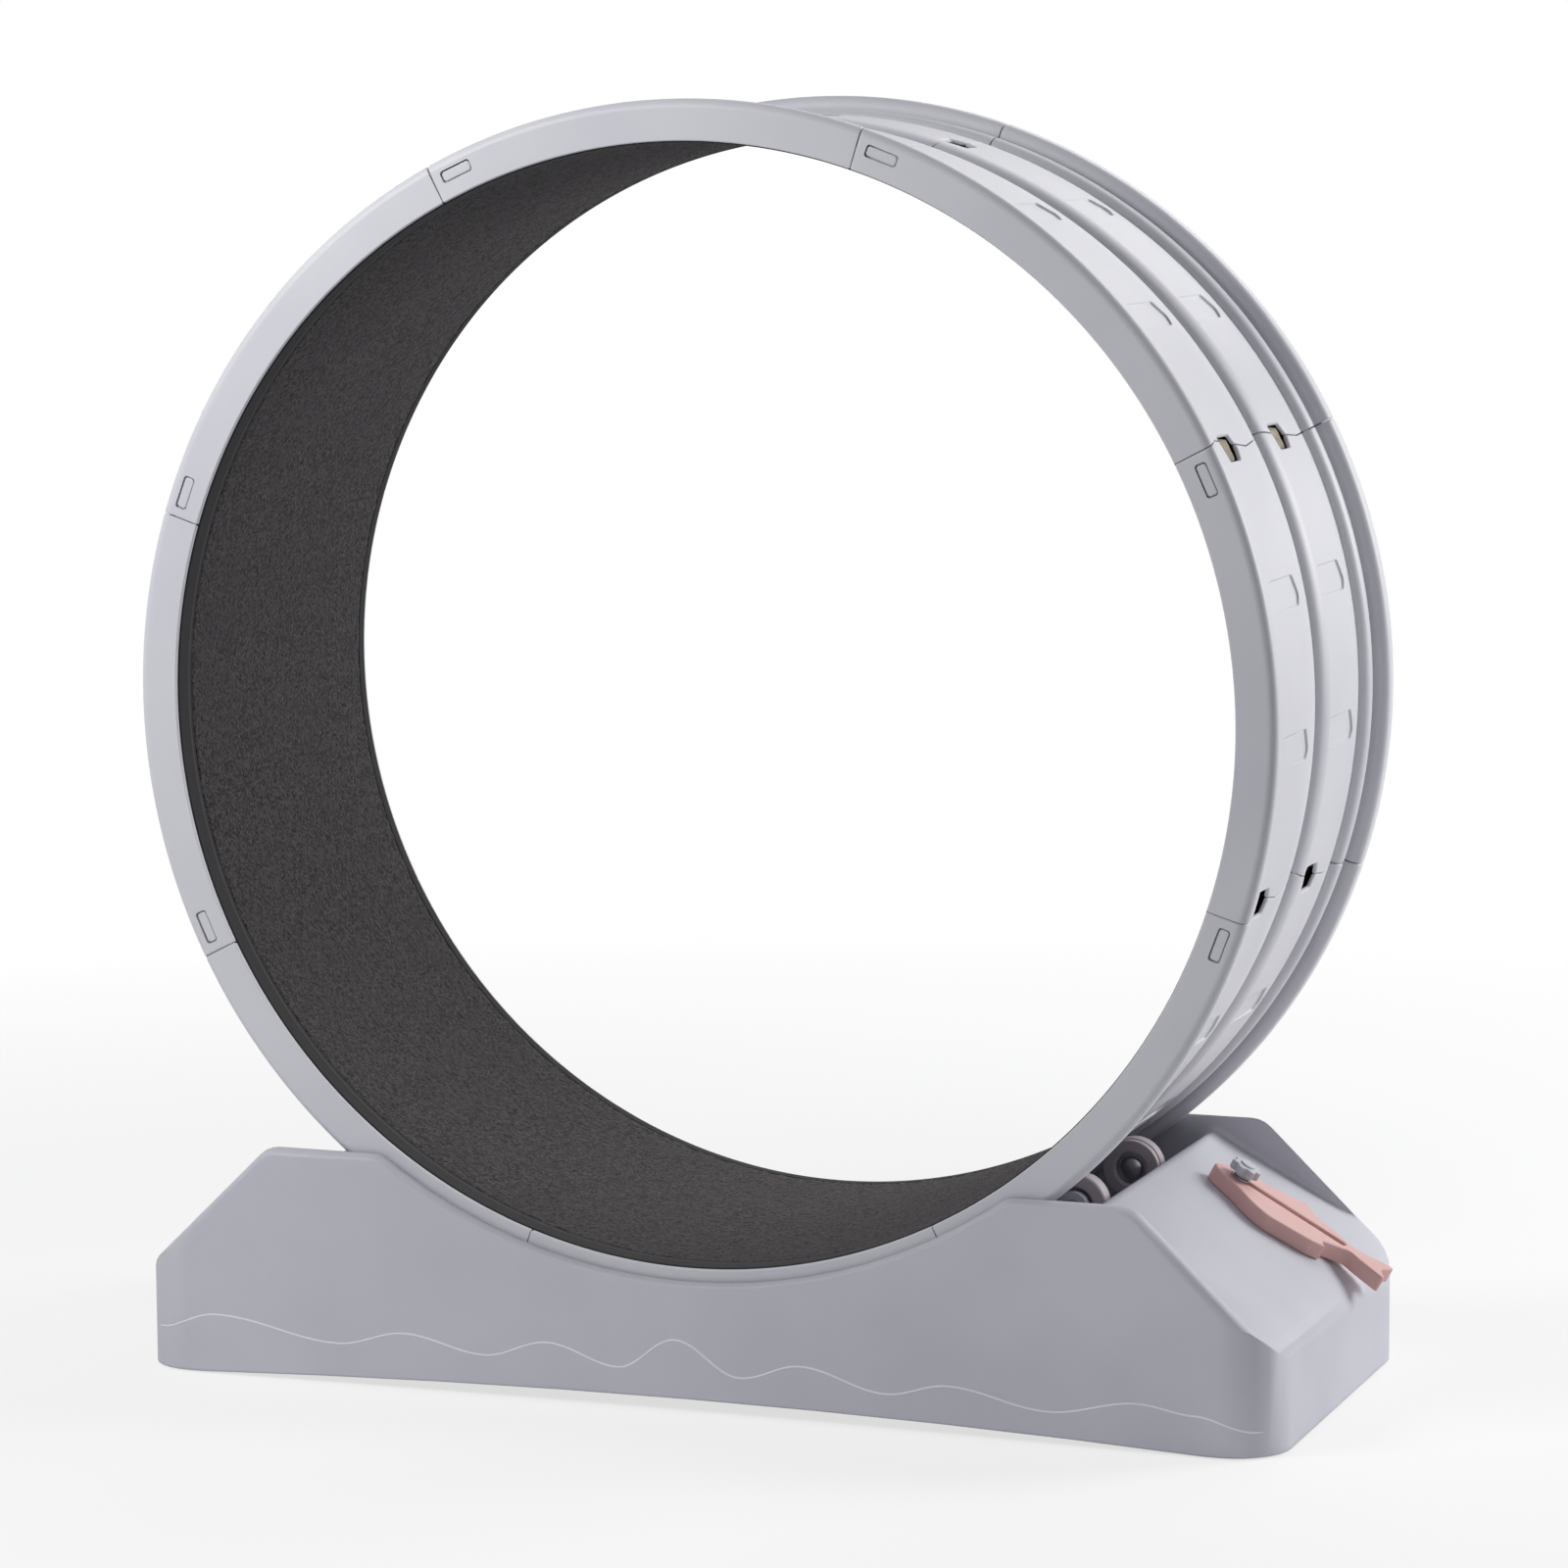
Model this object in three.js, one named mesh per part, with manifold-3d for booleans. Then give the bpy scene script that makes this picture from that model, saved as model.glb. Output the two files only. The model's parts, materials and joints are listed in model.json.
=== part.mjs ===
// An exercise wheel for a cat: a ring of eight moulded segments, lined with carpet, turns on four rollers
// in a moulded base. A fish-shaped brake plate slides up one end ramp until it touches the wheel.
// Millimetres, +Z up, +Y along the wheel's axis from front to rear, +X along the base.
// The origin is on the floor, under the middle of the whole outline.
// Angles on the wheel run clockwise from its top, seen from the front.

import * as THREE from "three";
import { mergeVertices } from "three/addons/utils/BufferGeometryUtils.js";
import Module from "manifold-3d";

const wasm = await Module();
wasm.setup();

// ---------- driving dimensions ----------

// Wheel
const segmentCount = 8;
const firstSeam = 18; // degrees, the first joint between two segments
const rimRadius = 500; // crest of the two side rims
const floorToRim = 86; // lowest point of the wheel above the floor
const bandDepth = 15; // running bands that the rollers touch, below the crest
const ridgeDepth = 11.5; // narrow ridge near the rear rim
const valleyDepth = 24; // valley between the two bands
const grooveDepth = 20; // the two grooves beside the ridge
const faceHeight = 34; // the two side faces, from the crest inwards
const wheelHalfWidth = 192;
const skin = 3.2; // wall of the corrugated barrel
const flange = 3.5; // wall of the two side faces
const rimRounding = 8;
const rimCrest = 8; // flat top of the front rim
const seamGap = 0.8;
const stepsPerSegment = 6;

// Bands and grooves along the axis
const frontRimWidth = 56; // from the front face to the first band
const shoulder = 52; // long fall behind the first band
const valleyWidth = 81;
const bandTwoWidth = 74;
const rise = 18; // steep front edge of the second band
const rearGrooves = 82; // from the second band to the rear face
const bandTwoFall = 28;
const ridgeFromRear = 35; // front of the ridge's crest
const ridgeWidth = 4;
const ridgeRise = 10;
const rearRimWidth = 22;

// Stiffening inside a segment
const ribThick = 2.6;
const ribsPerSegment = 2;

// Snap window in each side face, and the tongue that shows in it
const windowStart = 8.0; // along the rim, clockwise of the seam
const windowLength = 28.5;
const windowFoot = 13.5; // from the face's inner edge
const windowHeight = 10.4;
const tongueThick = 3.2;
const tongueRecess = 0.8; // the tongue's pad stops this far behind the face
const fitGap = 0.5;

// Latch holes across each seam
const latchWidth = 37;
const latchLength = 22.5;
const latchFromBands = [40, 21]; // middle of each hole behind its band's front edge
const latchOffsets = [2.4, 4.6]; // middle of each hole, clockwise of the seam

// Tread
const carpetThick = 3.5;
const underlayThick = 2.6;
const carpetProud = 1.5; // carpet surface inside the faces' inner edge
const frontBinding = 25;
const rearBinding = 12;
const treadJoint = 355; // degrees, where the strip's ends meet
const treadJointGap = 1.6;
const treadSteps = 40;

// Base
const sideGap = 3; // between the wheel's side and the long wall
const lipWidth = 12.5; // top of a long wall, from its inner to its outer face
const baseWaist = 5; // how much each long side draws in at the middle
const cornerRadius = 48;
const baseWall = 3.4;
const lipRounding = 12; // soft outer edge of the long walls
const wallTop = 200;
const saddleGap = 10; // the wall's saddle below the faces' inner edge
const saddleRounding = 22; // where the saddle meets the wall's top
const wellGap = 45; // floor of the trough below the wheel
const crestPast = 32.3; // ramp's crest beyond the rollers' axes
const crestDrop = 8.5; // ramp's crest, as a sharp corner, below the wall's top
const crestWall = 3; // upright wall of the trough before the crest
const crestRounding = 10;
const rampSlope = 29.25; // degrees below level, outwards
const slopeStart = 49.7; // wall's end slope, beyond the crest at the wall's top
const wallSlope = 44; // degrees below level
const slopeRounding = 25;
const endPast = 172; // end wall beyond the crest
const endRounding = 35;
const rampFillet = 5; // hollow rounding where the ramps and trough meet the walls
const rimLift = 1.5; // the shell's rim above the floor
const archRise = 10;
const archMargin = 62; // from the arch's ends to the base's ends
const gridPitch = 96;
const gridThick = 2.6;
const gridLift = 16;

// Feet
const footLength = 52;
const footDepth = 34;
const footHeight = 5;
const footMargins = [70, 58]; // middle of a foot from the base's end and side

// Rollers
const rollerRadius = 26;
const rollerWidth = 19;
const rollerAngle = 36.3; // degrees from straight down
const rollerInBands = [57, 43]; // roller's middle behind its band's front edge
const bearingRadius = 13;
const bearingWidth = 9;
const boltRadius = 4;
const boltHeadRadius = 9.4;
const boltHeadHeight = 4;
const postThick = 8;
const postRadius = 13;
const runningGap = 0.3;

// Brake, in the ramp's own frame: u down the ramp from its crest, v along the wheel's axis
const brakeThick = 14;
const brakeCentre = 73; // middle line of the fish along v
const headPlace = 39.4; // tip of the head along u at rest
const fishLength = 178;
const slotWidth = 8;
const slotInset = 21.8; // from the head's tip to the slot
const slotLength = 109.8;
const screwRadius = 3;
const screwPlay = 0.2; // between the screw and the slot's upper end
const knobRadius = 13.5;
const knobLobes = 7;

const lift = 0.3; // gap kept between pieces that touch
const skirt = 15; // how far the base is drawn below the floor before its rim is cut

// ---------- sizes that follow from them ----------

const bandRadius = rimRadius - bandDepth;
const ridgeRadius = rimRadius - ridgeDepth;
const valleyRadius = rimRadius - valleyDepth;
const grooveRadius = rimRadius - grooveDepth;
const faceRadius = rimRadius - faceHeight;
const axisHeight = floorToRim + rimRadius;
const windowInner = faceRadius + windowFoot;
const windowOuter = windowInner + windowHeight;

const bandOneStart = frontRimWidth - wheelHalfWidth;
const bandTwoEnd = wheelHalfWidth - rearGrooves;
const bandTwoStart = bandTwoEnd - bandTwoWidth;
const bandOneEnd = bandTwoStart - valleyWidth;
const valleyStart = bandOneEnd + shoulder;
const valleyEnd = bandTwoStart - rise;
const ridgePlace = wheelHalfWidth - ridgeFromRear;
const rearRimStart = wheelHalfWidth - rearRimWidth;
const bandStarts = [bandOneStart, bandTwoStart];

const rad = THREE.MathUtils.degToRad;
const rollerReach = bandRadius + runningGap + rollerRadius;
const rollerX = rollerReach * Math.sin(rad(rollerAngle));
const rollerZ = axisHeight - rollerReach * Math.cos(rad(rollerAngle));
const rollerPlaces = {
  front: bandOneStart + rollerInBands[0],
  rear: bandTwoStart + rollerInBands[1],
};

const wallInner = wheelHalfWidth + sideGap;
const baseHalfDepth = wallInner + lipWidth;
const saddleRadius = faceRadius + saddleGap;
const wellRadius = rimRadius + wellGap;
const rampCrest = [rollerX + crestPast, wallTop - crestDrop];
const wellEdge = rampCrest[0] - crestWall;
const baseHalfLength = rampCrest[0] + endPast;
const footPlace = [baseHalfLength - footMargins[0], baseHalfDepth - footMargins[1]];

const slotStart = headPlace + slotInset;
const slotEnd = slotStart + slotLength;
const knobPlace = slotStart + screwRadius + screwPlay + (slotWidth / 2 - screwRadius);

// ---------- finishes ----------

const finishes = {
  shell: { color: 0xb9bac4, roughness: 0.42, metalness: 0 },
  base: { color: 0xa9aab6, roughness: 0.45, metalness: 0 },
  carpet: { color: 0x3c3b40, roughness: 1, metalness: 0 },
  binding: { color: 0x1d1d20, roughness: 0.9, metalness: 0 },
  felt: { color: 0xb3a78f, roughness: 1, metalness: 0 },
  tyre: { color: 0xaaa2a4, roughness: 0.5, metalness: 0 },
  steel: { color: 0x8d9094, roughness: 0.3, metalness: 1 },
  fish: { color: 0xdcb1ab, roughness: 0.5, metalness: 0 },
  knob: { color: 0xb4b5ba, roughness: 0.45, metalness: 0 },
  rubber: { color: 0x232325, roughness: 0.85, metalness: 0 },
};

// ---------- small tools ----------

// A closed geometry as a solid that can be joined and cut.
function solidFrom(geometry) {
  const bare = geometry.clone();
  bare.deleteAttribute("normal");
  bare.deleteAttribute("uv");
  const merged = mergeVertices(bare, 1e-4);
  return new wasm.Manifold(
    new wasm.Mesh({
      numProp: 3,
      vertProperties: new Float32Array(merged.attributes.position.array),
      triVerts: new Uint32Array(merged.index.array),
    }),
  );
}

// A solid back as a geometry.
function geometryFrom(solid) {
  const mesh = solid.getMesh();
  const geometry = new THREE.BufferGeometry();
  geometry.setAttribute("position", new THREE.BufferAttribute(mesh.vertProperties, 3));
  geometry.setIndex(new THREE.BufferAttribute(mesh.triVerts, 1));
  geometry.computeVertexNormals();
  return geometry;
}

function joined(...solids) {
  return solids.reduce((whole, next) => whole.add(next));
}

function shapeFrom(points, holes = []) {
  const shape = new THREE.Shape(points.map(([a, b]) => new THREE.Vector2(a, b)));
  for (const hole of holes) {
    shape.holes.push(new THREE.Path(hole.map(([a, b]) => new THREE.Vector2(a, b))));
  }
  return shape;
}

// Points (x, z) extruded along Y.
function alongY(points, from, to, holes) {
  const geometry = new THREE.ExtrudeGeometry(shapeFrom(points, holes), {
    depth: to - from,
    bevelEnabled: false,
    curveSegments: 8,
  });
  geometry.rotateX(Math.PI / 2);
  geometry.translate(0, to, 0);
  return geometry;
}

// Points (x, y) extruded along Z.
function alongZ(points, from, to, holes) {
  const geometry = new THREE.ExtrudeGeometry(shapeFrom(points, holes), {
    depth: to - from,
    bevelEnabled: false,
    curveSegments: 8,
  });
  geometry.translate(0, 0, from);
  return geometry;
}

function block(x, y, z) {
  const geometry = new THREE.BoxGeometry(x[1] - x[0], y[1] - y[0], z[1] - z[0]);
  geometry.translate((x[0] + x[1]) / 2, (y[0] + y[1]) / 2, (z[0] + z[1]) / 2);
  return geometry;
}

// A full turn about Y of the closed outline (radius, y), given in order.
function turned(points, sides) {
  const closed = [...points, points[0]].map(([r, y]) => new THREE.Vector2(r, y));
  return new THREE.LatheGeometry(closed, sides);
}

function circle(x, y, radius, sides) {
  return Array.from({ length: sides }, (_, i) => {
    const angle = (2 * Math.PI * i) / sides;
    return [x + radius * Math.cos(angle), y + radius * Math.sin(angle)];
  });
}

function mirroredX(points) {
  const others = points.map(([x, ...rest]) => [-x, ...rest]).reverse();
  return [...points, ...others.filter(([x]) => x !== 0)];
}

// A closed outline whose corners (a, b, radius) are rounded by arcs.
function filleted(corners) {
  const degreesPerStep = 14;
  return corners.flatMap(([a, b, radius], i) => {
    if (!radius) return [[a, b]];
    const here = new THREE.Vector2(a, b);
    const [beforeA, beforeB] = corners[(i + corners.length - 1) % corners.length];
    const [afterA, afterB] = corners[(i + 1) % corners.length];
    const before = new THREE.Vector2(beforeA, beforeB).sub(here).normalize();
    const after = new THREE.Vector2(afterA, afterB).sub(here).normalize();
    const half = Math.acos(before.dot(after)) / 2;
    const middle = before.clone().add(after).normalize();
    const centre = here.clone().addScaledVector(middle, radius / Math.sin(half));
    const start = here.clone().addScaledVector(before, radius / Math.tan(half)).sub(centre);
    const side = Math.sign(before.cross(after)) || 1;
    const turn = -side * (Math.PI - 2 * half);
    const steps = Math.max(2, Math.round(THREE.MathUtils.radToDeg(Math.abs(turn)) / degreesPerStep));
    return Array.from({ length: steps + 1 }, (_, k) => {
      const point = start.clone().rotateAround(new THREE.Vector2(), (turn * k) / steps).add(centre);
      return [point.x, point.y];
    });
  });
}

// Outlines (x, z) with equal numbers of points, joined one after the other from rear to front.
function loftedY(rings) {
  const count = rings[0][1].length;
  const positions = rings.flatMap(([y, points]) => points.flatMap(([x, z]) => [x, y, z]));
  const faces = [];
  for (let ring = 0; ring < rings.length - 1; ring++) {
    for (let i = 0; i < count; i++) {
      const a = ring * count + i;
      const b = ring * count + ((i + 1) % count);
      faces.push(a, b, b + count, a, b + count, a + count);
    }
  }
  const contour = rings[0][1].map(([x, z]) => new THREE.Vector2(x, z));
  const last = (rings.length - 1) * count;
  for (const [a, b, c] of THREE.ShapeUtils.triangulateShape(contour, [])) {
    faces.push(c, b, a);
    faces.push(last + a, last + b, last + c);
  }
  const geometry = new THREE.BufferGeometry();
  geometry.setAttribute("position", new THREE.Float32BufferAttribute(positions, 3));
  geometry.setIndex(faces);
  return geometry;
}

// The outline moved inwards by a distance, corner by corner. It runs anticlockwise.
function inset(points, distance) {
  const count = points.length;
  return points.map(([x, y], i) => {
    const [px, py] = points[(i + count - 1) % count];
    const [nx, ny] = points[(i + 1) % count];
    const before = new THREE.Vector2(x - px, y - py).normalize();
    const after = new THREE.Vector2(nx - x, ny - y).normalize();
    const normal = new THREE.Vector2(-before.y - after.y, before.x + after.x).normalize();
    const reach = distance / Math.max(0.5, normal.dot(new THREE.Vector2(-after.y, after.x)));
    return [x + normal.x * reach, y + normal.y * reach];
  });
}

// A closed outline (y, radius) swept round the wheel's axis from one angle to another.
// The sideways shift moves a point along the rim by a length that depends on its y.
function swept(outline, fromDegrees, toDegrees, steps, shift = () => 0) {
  const contour = outline.map(([y, r]) => new THREE.Vector2(y, r));
  if (THREE.ShapeUtils.isClockWise(contour)) contour.reverse();
  const count = contour.length;
  const positions = [];
  for (let ring = 0; ring <= steps; ring++) {
    const angle = rad(fromDegrees + ((toDegrees - fromDegrees) * ring) / steps);
    for (const { x: y, y: radius } of contour) {
      const turn = angle + shift(y) / bandRadius;
      positions.push(radius * Math.sin(turn), y, radius * Math.cos(turn));
    }
  }
  const faces = [];
  for (let ring = 0; ring < steps; ring++) {
    for (let i = 0; i < count; i++) {
      const a = ring * count + i;
      const b = ring * count + ((i + 1) % count);
      faces.push(a, b, b + count, a, b + count, a + count);
    }
  }
  for (const [a, b, c] of THREE.ShapeUtils.triangulateShape(contour, [])) {
    const last = steps * count;
    faces.push(c, b, a, last + a, last + b, last + c);
  }
  const geometry = new THREE.BufferGeometry();
  geometry.setAttribute("position", new THREE.Float32BufferAttribute(positions, 3));
  geometry.setIndex(faces);
  return geometry;
}

const root = new THREE.Group();

function addPiece(name, geometry, finish, parent) {
  const mesh = new THREE.Mesh(geometry, new THREE.MeshStandardMaterial(finishes[finish]));
  mesh.name = name;
  parent.add(mesh);
  return mesh;
}

// ---------- wheel ----------

const inward = wheelHalfWidth - flange;
const ribFoot = faceRadius - carpetProud + carpetThick + underlayThick + 2 * lift;

// How far the joint between two segments strays along the rim, by place along the axis.
const seamPath = [
  [-wheelHalfWidth, 0],
  [-wheelHalfWidth + 15, -3],
  [bandOneStart + 8, -9],
  [(bandOneStart + bandOneEnd) / 2, 4],
  [bandOneEnd, 3],
  [valleyStart, -2.5],
  [valleyEnd, -7],
  [(bandTwoStart + bandTwoEnd) / 2, 5.5],
  [bandTwoEnd, 4.5],
  [ridgePlace, 1.5],
  [wheelHalfWidth, 0],
];

function seamShift(y) {
  const next = seamPath.findIndex(([place]) => place >= y - 1e-9);
  if (next <= 0) return seamPath[0][1];
  const [y0, s0] = seamPath[next - 1];
  const [y1, s1] = seamPath[next];
  return s0 + ((s1 - s0) * (y - y0)) / (y1 - y0);
}

// A quarter of an ellipse between two points (y, radius), steep at one end and level at the other.
function quarter([y0, r0], [y1, r1], steepFirst, steps) {
  return Array.from({ length: steps + 1 }, (_, i) => {
    const angle = (Math.PI / 2) * (i / steps);
    if (steepFirst) return [y1 + (y0 - y1) * Math.cos(angle), r0 + (r1 - r0) * Math.sin(angle)];
    return [y0 + (y1 - y0) * Math.sin(angle), r1 + (r0 - r1) * Math.cos(angle)];
  });
}

// The shell's section: outer skin from front to rear, then the inner skin back.
function segmentOutline() {
  const w = wheelHalfWidth;
  const ridgeEnd = ridgePlace + ridgeWidth;
  const crestEnd = -w + rimRounding + rimCrest;
  const rimTop = rearRimStart + rimRounding;
  const outer = [
    [-w, faceRadius],
    ...quarter([-w, rimRadius - rimRounding], [-w + rimRounding, rimRadius], true, 3),
    [crestEnd, rimRadius],
    [crestEnd + 6, rimRadius - 2],
    [bandOneStart, bandRadius],
    ...quarter([bandOneEnd, bandRadius], [valleyStart, valleyRadius], false, 3),
    ...quarter([valleyEnd, valleyRadius], [bandTwoStart, bandRadius], true, 3),
    ...quarter([bandTwoEnd, bandRadius], [bandTwoEnd + bandTwoFall, grooveRadius], false, 3),
    ...quarter([ridgePlace - ridgeRise, grooveRadius], [ridgePlace, ridgeRadius], true, 2),
    [ridgeEnd, ridgeRadius],
    [ridgeEnd + 3, grooveRadius],
    [rearRimStart, grooveRadius],
    ...quarter([rearRimStart, rimRadius - 10], [rimTop, rimRadius], true, 3),
    ...quarter([w - 6, rimRadius], [w, rimRadius - 6], false, 2),
    [w, faceRadius],
  ];
  const inner = [
    [inward, faceRadius],
    [inward, rimRadius - 6],
    [inward - 4, rimRadius - skin],
    [rimTop + 1, rimRadius - skin],
    [rearRimStart + skin, rimRadius - 12],
    [rearRimStart + skin, grooveRadius - skin],
    [ridgeEnd - 2, grooveRadius - skin],
    [ridgePlace, ridgeRadius - skin],
    [ridgePlace - 4, grooveRadius - skin],
    [bandTwoEnd + bandTwoFall - 3, grooveRadius - skin],
    [bandTwoEnd, bandRadius - skin],
    [bandTwoStart + 1, bandRadius - skin],
    [valleyEnd + skin + 1, valleyRadius + 2],
    [valleyEnd + skin, valleyRadius - skin],
    [valleyStart - 3, valleyRadius - skin],
    [valleyStart - 10, valleyRadius + 0.6],
    [bandOneEnd + 24, bandRadius - skin - 1.4],
    [bandOneEnd, bandRadius - skin],
    [bandOneStart + 1, bandRadius - skin],
    [crestEnd + 4, rimRadius - skin - 2],
    [-inward + 6, rimRadius - skin],
    [-inward, rimRadius - rimRounding - 1],
    [-inward, faceRadius],
  ];
  return [...outer, ...inner];
}

// A box across the rim: along the axis, along the rim and along the radius, at an angle.
function rimBlock(y, along, radii, degrees) {
  const geometry = block(along, y, radii);
  geometry.rotateY(rad(degrees));
  return solidFrom(geometry);
}

function arcBlock(y, radii, fromDegrees, toDegrees) {
  const [y0, y1] = y;
  const [r0, r1] = radii;
  const outline = [[y0, r0], [y1, r0], [y1, r1], [y0, r1]];
  return solidFrom(swept(outline, fromDegrees, toDegrees, 2));
}

const degreesPerMillimetre = 180 / Math.PI / bandRadius;

// One side of the joint at the segment's end: a tongue that runs on behind the next face.
function tongue(side, seam) {
  const rootLength = 24;
  const overlapLength = windowStart + windowLength + 4;
  const onSide = (a, b) => (side < 0 ? [-b, -a] : [a, b]);
  const slip = inward - lift;
  const radii = [windowInner - 4, windowOuter - fitGap];
  const behind = onSide(slip - tongueThick, slip);
  const fused = onSide(slip - tongueThick, inward + 0.5);
  const pad = onSide(slip - 1, wheelHalfWidth - tongueRecess);
  const at = (length) => seam + length * degreesPerMillimetre;
  return joined(
    arcBlock(behind, radii, at(-rootLength), at(overlapLength)),
    arcBlock(fused, radii, at(-rootLength), at(-seamGap - 2)),
    arcBlock(
      pad,
      [windowInner + fitGap, windowOuter - fitGap],
      at(windowStart + fitGap),
      at(windowStart + windowLength - fitGap),
    ),
  );
}

function windowCut(side, seam) {
  const at = (length) => seam + length * degreesPerMillimetre;
  const y = side < 0 ? [-wheelHalfWidth - 1, -inward + 1] : [inward - 1, wheelHalfWidth + 1];
  return arcBlock(y, [windowInner, windowOuter], at(windowStart), at(windowStart + windowLength));
}

function latchCut(index, seam) {
  const place = bandStarts[index] + latchFromBands[index];
  const offset = latchOffsets[index];
  return rimBlock(
    [place - latchWidth / 2, place + latchWidth / 2],
    [offset - latchLength / 2, offset + latchLength / 2],
    [ribFoot, rimRadius + 5],
    seam,
  );
}

function segmentSolid(index) {
  const sweep = 360 / segmentCount;
  const start = firstSeam + index * sweep;
  const end = start + sweep;
  const halfGap = (seamGap / 2) * degreesPerMillimetre;
  const outline = segmentOutline();
  let solid = solidFrom(swept(outline, start + halfGap, end - halfGap, stepsPerSegment, seamShift));
  for (let rib = 1; rib <= ribsPerSegment; rib++) {
    const angle = start + (sweep * rib) / (ribsPerSegment + 1);
    const half = (ribThick / 2) * degreesPerMillimetre;
    const section = [
      [-inward - 0.5, ribFoot],
      [inward + 0.5, ribFoot],
      [inward + 0.5, grooveRadius - 2],
      [bandTwoEnd + bandTwoFall - 3, grooveRadius - 2],
      [bandTwoEnd, bandRadius - 2],
      [bandTwoStart + 4, bandRadius - 2],
      [valleyEnd + 2, valleyRadius - 1],
      [valleyStart - 2, valleyRadius - 1],
      [valleyStart - 8, valleyRadius + 2],
      [bandOneEnd + 20, bandRadius - 3],
      [bandOneEnd, bandRadius - 2],
      [-inward - 0.5, bandRadius - 2],
    ];
    solid = solid.add(solidFrom(swept(section, angle - half, angle + half, 1)));
  }
  for (const side of [-1, 1]) {
    solid = solid.subtract(windowCut(side, start));
    solid = solid.add(tongue(side, end));
  }
  for (let hole = 0; hole < latchFromBands.length; hole++) {
    solid = solid.subtract(latchCut(hole, start));
    solid = solid.subtract(latchCut(hole, end));
  }
  return solid;
}

function strip(y, radii) {
  const half = ((treadJointGap / 2) * 180) / Math.PI / faceRadius;
  const [y0, y1] = y;
  const [r0, r1] = radii;
  const outline = [[y0, r0], [y1, r0], [y1, r1], [y0, r1]];
  return swept(outline, treadJoint + half, treadJoint + 360 - half, treadSteps);
}

const wheel = new THREE.Group();
wheel.position.z = axisHeight;
root.add(wheel);

for (let index = 0; index < segmentCount; index++) {
  addPiece(`ring_segment_${index + 1}`, geometryFrom(segmentSolid(index)), "shell", wheel);
}

const carpetRadius = faceRadius - carpetProud;
const treadHalf = inward - lift;
const carpetOuter = carpetRadius + carpetThick;
const carpetSpan = [-treadHalf + frontBinding + lift, treadHalf - rearBinding - lift];
addPiece("tread_carpet", strip(carpetSpan, [carpetRadius, carpetOuter]), "carpet", wheel);
addPiece(
  "front_binding",
  strip([-treadHalf, -treadHalf + frontBinding], [carpetRadius + 0.6, carpetOuter]),
  "binding",
  wheel,
);
addPiece(
  "rear_binding",
  strip([treadHalf - rearBinding, treadHalf], [carpetRadius + 0.6, carpetOuter]),
  "binding",
  wheel,
);
addPiece(
  "tread_underlay",
  strip([-treadHalf, treadHalf], [carpetOuter + lift, carpetOuter + lift + underlayThick]),
  "felt",
  wheel,
);

// ---------- base ----------

const rampFall = Math.tan(rad(rampSlope));

function rampHeight(x) {
  return rampCrest[1] - (x - rampCrest[0]) * rampFall;
}

function saddleHeight(x, radius) {
  return axisHeight - Math.sqrt(radius * radius - x * x);
}

// The long walls seen from the front, anticlockwise.
function wallOutline() {
  const saddleEdge = Math.sqrt(saddleRadius ** 2 - (axisHeight - wallTop) ** 2);
  const saddleEnd = saddleEdge - 0.7 * saddleRounding;
  const arcSteps = 10;
  const headX = rampCrest[0] + slopeStart;
  const endTop = wallTop - (baseHalfLength - headX) * Math.tan(rad(wallSlope));
  const half = [
    [baseHalfLength, -skirt, 0],
    [baseHalfLength, endTop, endRounding],
    [headX, wallTop, slopeRounding],
    [saddleEdge, wallTop, saddleRounding],
  ];
  for (let i = 0; i < arcSteps; i++) {
    const x = saddleEnd * (1 - i / arcSteps);
    half.push([x, saddleHeight(x, saddleRadius), 0]);
  }
  half.push([0, saddleHeight(0, saddleRadius), 0]);
  return filleted(mirroredX(half));
}

// What is open above the ramps and the trough, seen from the front, anticlockwise.
function troughOutline() {
  const arcSteps = 12;
  const high = axisHeight;
  const far = baseHalfLength + 20;
  const half = [];
  for (let i = 0; i < arcSteps; i++) {
    const x = (wellEdge * i) / arcSteps;
    half.push([x, saddleHeight(x, wellRadius), 0]);
  }
  half.push(
    [wellEdge, saddleHeight(wellEdge, wellRadius), 0],
    [wellEdge, rampHeight(wellEdge), crestRounding],
    [far, rampHeight(far), 0],
    [far, high, 0],
  );
  return filleted(mirroredX(half));
}

// The base seen from above, anticlockwise, with rounded corners and drawn-in long sides.
function planOutline() {
  const points = [];
  const cornerSteps = 7;
  const sideSteps = 8;
  const flat = baseHalfLength - cornerRadius;
  for (const [sx, sy, turn] of [[1, -1, -90], [1, 1, 0], [-1, 1, 90], [-1, -1, 180]]) {
    const cx = sx * flat;
    const cy = sy * (baseHalfDepth - cornerRadius);
    for (let i = 0; i <= cornerSteps; i++) {
      const angle = rad(turn + (90 * i) / cornerSteps);
      points.push([cx + cornerRadius * Math.cos(angle), cy + cornerRadius * Math.sin(angle)]);
    }
    if (sx * sy < 0) continue;
    for (let i = 1; i < sideSteps; i++) {
      const x = sx * flat * (1 - (2 * i) / sideSteps);
      points.push([x, sy * (baseHalfDepth - baseWaist * (1 - (x / flat) ** 2))]);
    }
  }
  return points;
}

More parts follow.
